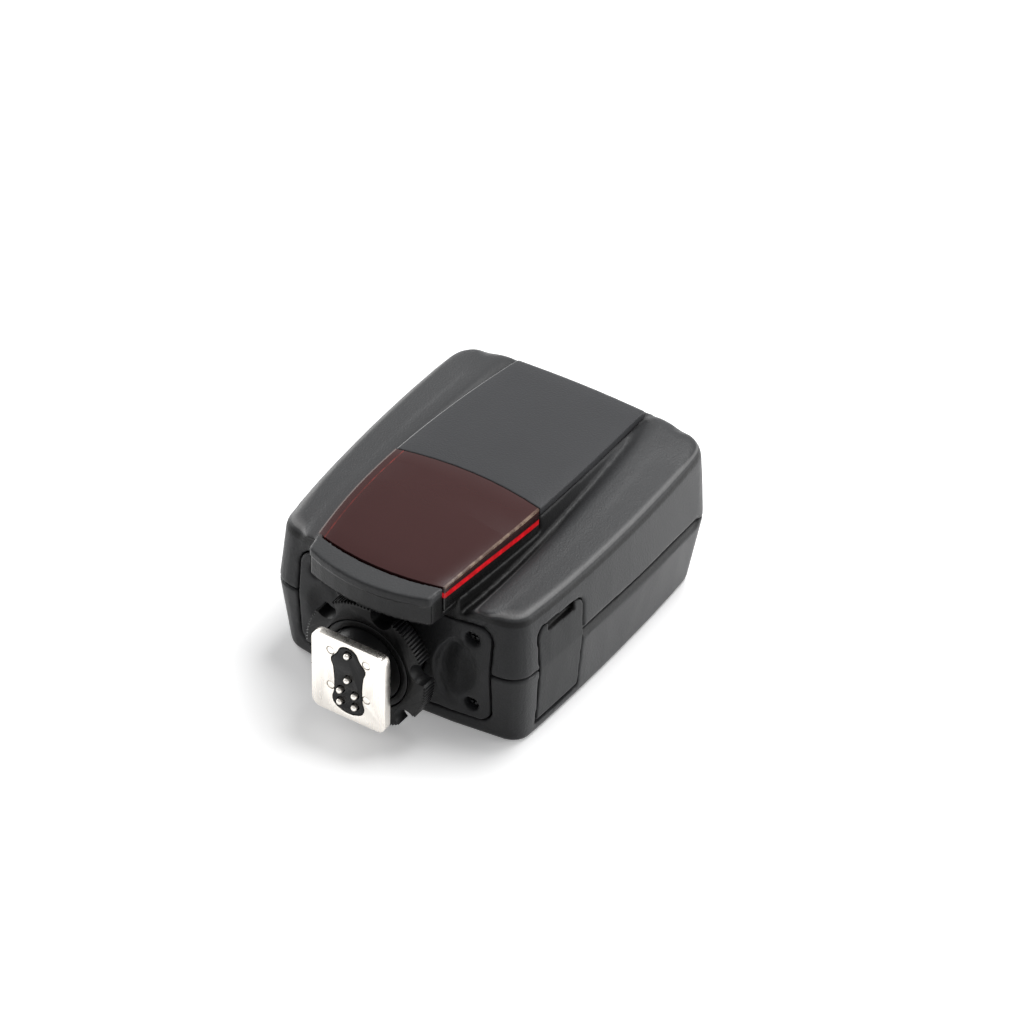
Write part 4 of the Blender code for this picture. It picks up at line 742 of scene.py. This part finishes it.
def steep_rim(x, y, z, normal):
    past = abs(x) - 11.0 - 0.045 * (z - 14.5) ** 2
    off_middle = abs(z - DISH_HEIGHT)
    if not (0 < past < 6 and abs(x) < 18 and off_middle < 9.5 and normal.y < -0.1 and y < -26.5):
        return None
    return 1, y + 1.1 * ease(past / 0.7) * (1 - ease(past / 5.0)) * (1 - ramp(off_middle, 6.5, 9.5))


cover = cast("foot_cover", 0.3, 4)
soften(cover, 40, vertex_group=area(cover, "dish", dish_share))
reshape(cover, steep_rim)
soften(cover, 2)
settle(cover, 0.5)
hand_over(cover, "body", "case", cover_plastic, "foot_cover")

# %% [markdown]
# ## The clamp wheel
# The wheel behind the plate is knurled between six thumb notches. Modelling one tooth and spinning it would leave
# seams to close. A cylinder with four columns of points per tooth has none: every second pair of columns is
# pulled in, and what stands out are the teeth.

# %% Knurled wheel
TEETH = 112
TOOTH_ROOT = 0.966  # radius between the teeth, as a share of the wheel's
ALONG_Y = (math.pi / 2, 0, 0)
low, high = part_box("lock_wheel")
wheel_radius = (high.x - low.x) / 2
middle = Vector((0, (low.y + high.y) / 2, AXIS_HEIGHT * MM))
bpy.ops.object.select_all(action="DESELECT")
bpy.ops.mesh.primitive_cylinder_add(
    vertices=4 * TEETH, radius=wheel_radius, depth=high.y - low.y, location=middle, rotation=ALONG_Y
)
wheel = bpy.context.object
wheel.name = "knurled_wheel"
bpy.ops.object.transform_apply(location=True, rotation=True, scale=True)
for vertex in wheel.data.vertices:
    angle = math.atan2(vertex.co.z - middle.z, vertex.co.x)
    column = round(angle / (2 * math.pi) * 4 * TEETH)
    vertex.select = column % 4 in (0, 1)
for part in (*wheel.data.polygons, *wheel.data.edges):
    part.select = False
bpy.ops.object.mode_set(mode="EDIT")
bpy.ops.mesh.select_mode(type="VERT")
bpy.ops.transform.resize(value=(TOOTH_ROOT, 1.0, TOOTH_ROOT), center_override=middle)
bpy.ops.object.mode_set(mode="OBJECT")
print("wheel radius", round(wheel_radius / MM, 2), "mm, teeth", TEETH)

# %% [markdown]
# The real wheel is moulded with its thumb notches, a recess that holds the pressure ring, and a bore for the
# stem. Round cutters take these out by Boolean, which keeps each one a true circle. A narrow bevel then breaks
# the edges of all teeth and notches at once.

# %% Cut the wheel
NOTCHES, FIRST_NOTCH = 6, 14  # count, and the angle of the first in degrees
NOTCH_RADIUS, NOTCH_INSET = 2.7, 0.7
RECESS_RADIUS, RECESS_DEPTH = 10.9, 1.8
BORE_RADIUS = 9.1


def cutter(radius, depth, place, sides):
    bpy.ops.object.select_all(action="DESELECT")
    bpy.ops.mesh.primitive_cylinder_add(
        vertices=sides, radius=radius * MM, depth=depth * MM, location=place, rotation=ALONG_Y
    )
    return bpy.context.object


def combine(piece, tool, operation):
    work(piece, "BOOLEAN", operation=operation, object=tool, solver="EXACT")
    bpy.data.objects.remove(tool)


def crisp(piece, smooth_below):
    only(piece)
    bpy.ops.object.shade_smooth_by_angle(angle=math.radians(smooth_below))


reach = wheel_radius - NOTCH_INSET * MM
for notch in range(NOTCHES):
    angle = math.radians(FIRST_NOTCH + 360 / NOTCHES * notch)
    place = middle + Vector((reach * math.cos(angle), 0, reach * math.sin(angle)))
    combine(wheel, cutter(NOTCH_RADIUS, 8, place, 32), "DIFFERENCE")
combine(wheel, cutter(RECESS_RADIUS, 2 * RECESS_DEPTH, Vector((0, low.y, middle.z)), 96), "DIFFERENCE")
combine(wheel, cutter(BORE_RADIUS, 12, middle, 96), "DIFFERENCE")
work(wheel, "BEVEL", width=0.1 * MM, segments=2, limit_method="ANGLE", angle_limit=math.radians(50))
crisp(wheel, 38)
hand_over(wheel, "wheel", "foot_black", foot_plastic, "lock_wheel")

# %% [markdown]
# ## Crisp parts
# The panel, the window, the plate, the insulator, the stem, the ring, the keys and the lens have the right outline
# already, and voxels would fray their sharp edges. A merged copy loses its needless triangle edges and gets a fine
# bevel, so its rim shows a line of light. The arched parts only lose edges that are very nearly flat.

# %% Break the edges of crisp parts
def broken_edges(node, width, finish, slot, segments=2, flat=1.0):
    piece = merged_copy(node, node + "_finished")
    bpy.ops.object.mode_set(mode="EDIT")
    bpy.ops.mesh.select_all(action="SELECT")
    bpy.ops.mesh.dissolve_limited(angle_limit=math.radians(flat))
    bpy.ops.object.mode_set(mode="OBJECT")
    work(piece, "BEVEL", width=width * MM, segments=segments, limit_method="ANGLE", angle_limit=math.radians(40))
    crisp(piece, 35)
    hand_over(piece, body_of[node], slot, finish, node)


broken_edges("front_panel", 0.35, panel_plastic, "case", 3, flat=0.05)
broken_edges("red_window", 0.3, window_red, "window", 3, flat=0.05)
broken_edges("shoe_plate", 0.3, nickel, "nickel", 3)
broken_edges("shoe_insulator", 0.15, foot_plastic, "foot_black")
broken_edges("foot_stem", 0.2, foot_plastic, "foot_black")
broken_edges("pressure_ring", 0.2, foot_plastic, "foot_black")
for node in [name for name in nodes if slot_of[name] == "key"]:
    broken_edges(node, 0.3, key_rubber, "key", 3)
broken_edges("lcd_lens", 0.25, lens_black, "lens", 3)

# %% [markdown]
# ## Pins and rivets
# Contact pins are turned pins with a domed tip. A half circle spun round an axis would give one too, but the rim
# of a cylinder rounded in six steps has no pole to close. One pin is modelled in the place of the solid that it
# stands for, and copied to the others, each copy with its own mesh. Rivets are the same with a slight rounding.

# %% Turned pins
def turned_pin(node, dome):
    low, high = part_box(node)
    radius = (high.x - low.x) / 2
    bpy.ops.object.select_all(action="DESELECT")
    bpy.ops.mesh.primitive_cylinder_add(
        vertices=40, radius=radius, depth=high.y - low.y, location=(low + high) / 2, rotation=ALONG_Y
    )
    pin = bpy.context.object
    pin.name = node + "_turned"
    bpy.ops.object.transform_apply(location=True, rotation=True, scale=True)
    tip = [vertex.co.y < low.y + 0.01 * MM for vertex in pin.data.vertices]
    for part in (*pin.data.polygons, *pin.data.edges):
        part.select = all(tip[index] for index in part.vertices)
    for vertex, chosen in zip(pin.data.vertices, tip):
        vertex.select = chosen
    bpy.ops.object.mode_set(mode="EDIT")
    bpy.ops.mesh.bevel(offset=dome * radius, segments=6, profile=0.5, affect="EDGES")
    bpy.ops.object.mode_set(mode="OBJECT")
    crisp(pin, 40)
    return pin


def copies(model, names):
    pieces = [model]
    for node in names[1:]:
        pieces.append(own_copy(model, node + "_turned"))
        pieces[-1].data.transform(Matrix.Translation(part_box(node)[0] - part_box(names[0])[0]))
    return zip(pieces, names)


pins = ["sync_pin", "signal_pin_1", "signal_pin_2", "signal_pin_3", "signal_pin_4", "lock_pin"]
rivets = [f"plate_rivet_{number}" for number in range(1, 5)]
for names, dome in ((pins, 0.85), (rivets, 0.25)):
    for pin, node in copies(turned_pin(names[0], dome), names):
        hand_over(pin, body_of[node], "nickel", nickel, node)

# %% [markdown]
# ## Screws
# Each screw is a pan head with a cross recess on a plain shank. The head is a short cylinder with a bevelled rim,
# two crossed bars cut the recess, and the shank is joined on. A thread would be hidden in the plastic, so there
# is none. One cover screw and one case screw are modelled and copied to the other places.

# %% Cross-recess screws
HEAD_DEPTH, SHANK_RADIUS, OVERLAP = 1.4, 0.9, 0.1
BAR_LENGTH, BAR_WIDTH, BAR_DEPTH = 1.3, 0.34, 1.5  # the first two as shares of the head's radius


def cross_screw(node, axis):
    low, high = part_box(node)
    centre = (low + high) / 2
    radius = (high.x - low.x) / 2
    across = 2 if axis == 1 else 1

    def at(depth):
        place = centre.copy()
        place[axis] = low[axis] + depth
        return place

    def rod(size, start, stop):
        bpy.ops.object.select_all(action="DESELECT")
        bpy.ops.mesh.primitive_cylinder_add(
            vertices=36, radius=size, depth=stop - start, location=at((start + stop) / 2),
            rotation=ALONG_Y if axis == 1 else (0, 0, 0),
        )
        bpy.ops.object.transform_apply(location=True, rotation=True, scale=True)
        return bpy.context.object

    screw = rod(radius, 0, HEAD_DEPTH * MM)
    screw.name = node + "_turned"
    work(screw, "BEVEL", width=0.35 * MM, segments=4, limit_method="ANGLE", angle_limit=math.radians(50))
    for wide, tall in ((BAR_LENGTH, BAR_WIDTH), (BAR_WIDTH, BAR_LENGTH)):
        bpy.ops.object.select_all(action="DESELECT")
        bpy.ops.mesh.primitive_cube_add(size=1, location=at(0))
        bar = bpy.context.object
        sizes = [wide * radius, wide * radius, wide * radius]
        sizes[across] = tall * radius
        sizes[axis] = BAR_DEPTH * MM
        bar.scale = sizes
        bpy.ops.object.transform_apply(location=True, rotation=True, scale=True)
        combine(screw, bar, "DIFFERENCE")
    shank = rod(SHANK_RADIUS * MM, (HEAD_DEPTH - OVERLAP) * MM, high[axis] - low[axis])
    combine(screw, shank, "UNION")
    crisp(screw, 38)
    return screw


for kind, axis in (("cover_screw", 1), ("case_screw", 2)):
    names = [f"{kind}_{number}" for number in range(1, 5)]
    for screw, node in copies(cross_screw(names[0], axis), names):
        hand_over(screw, "body", "steel", screw_black, node)
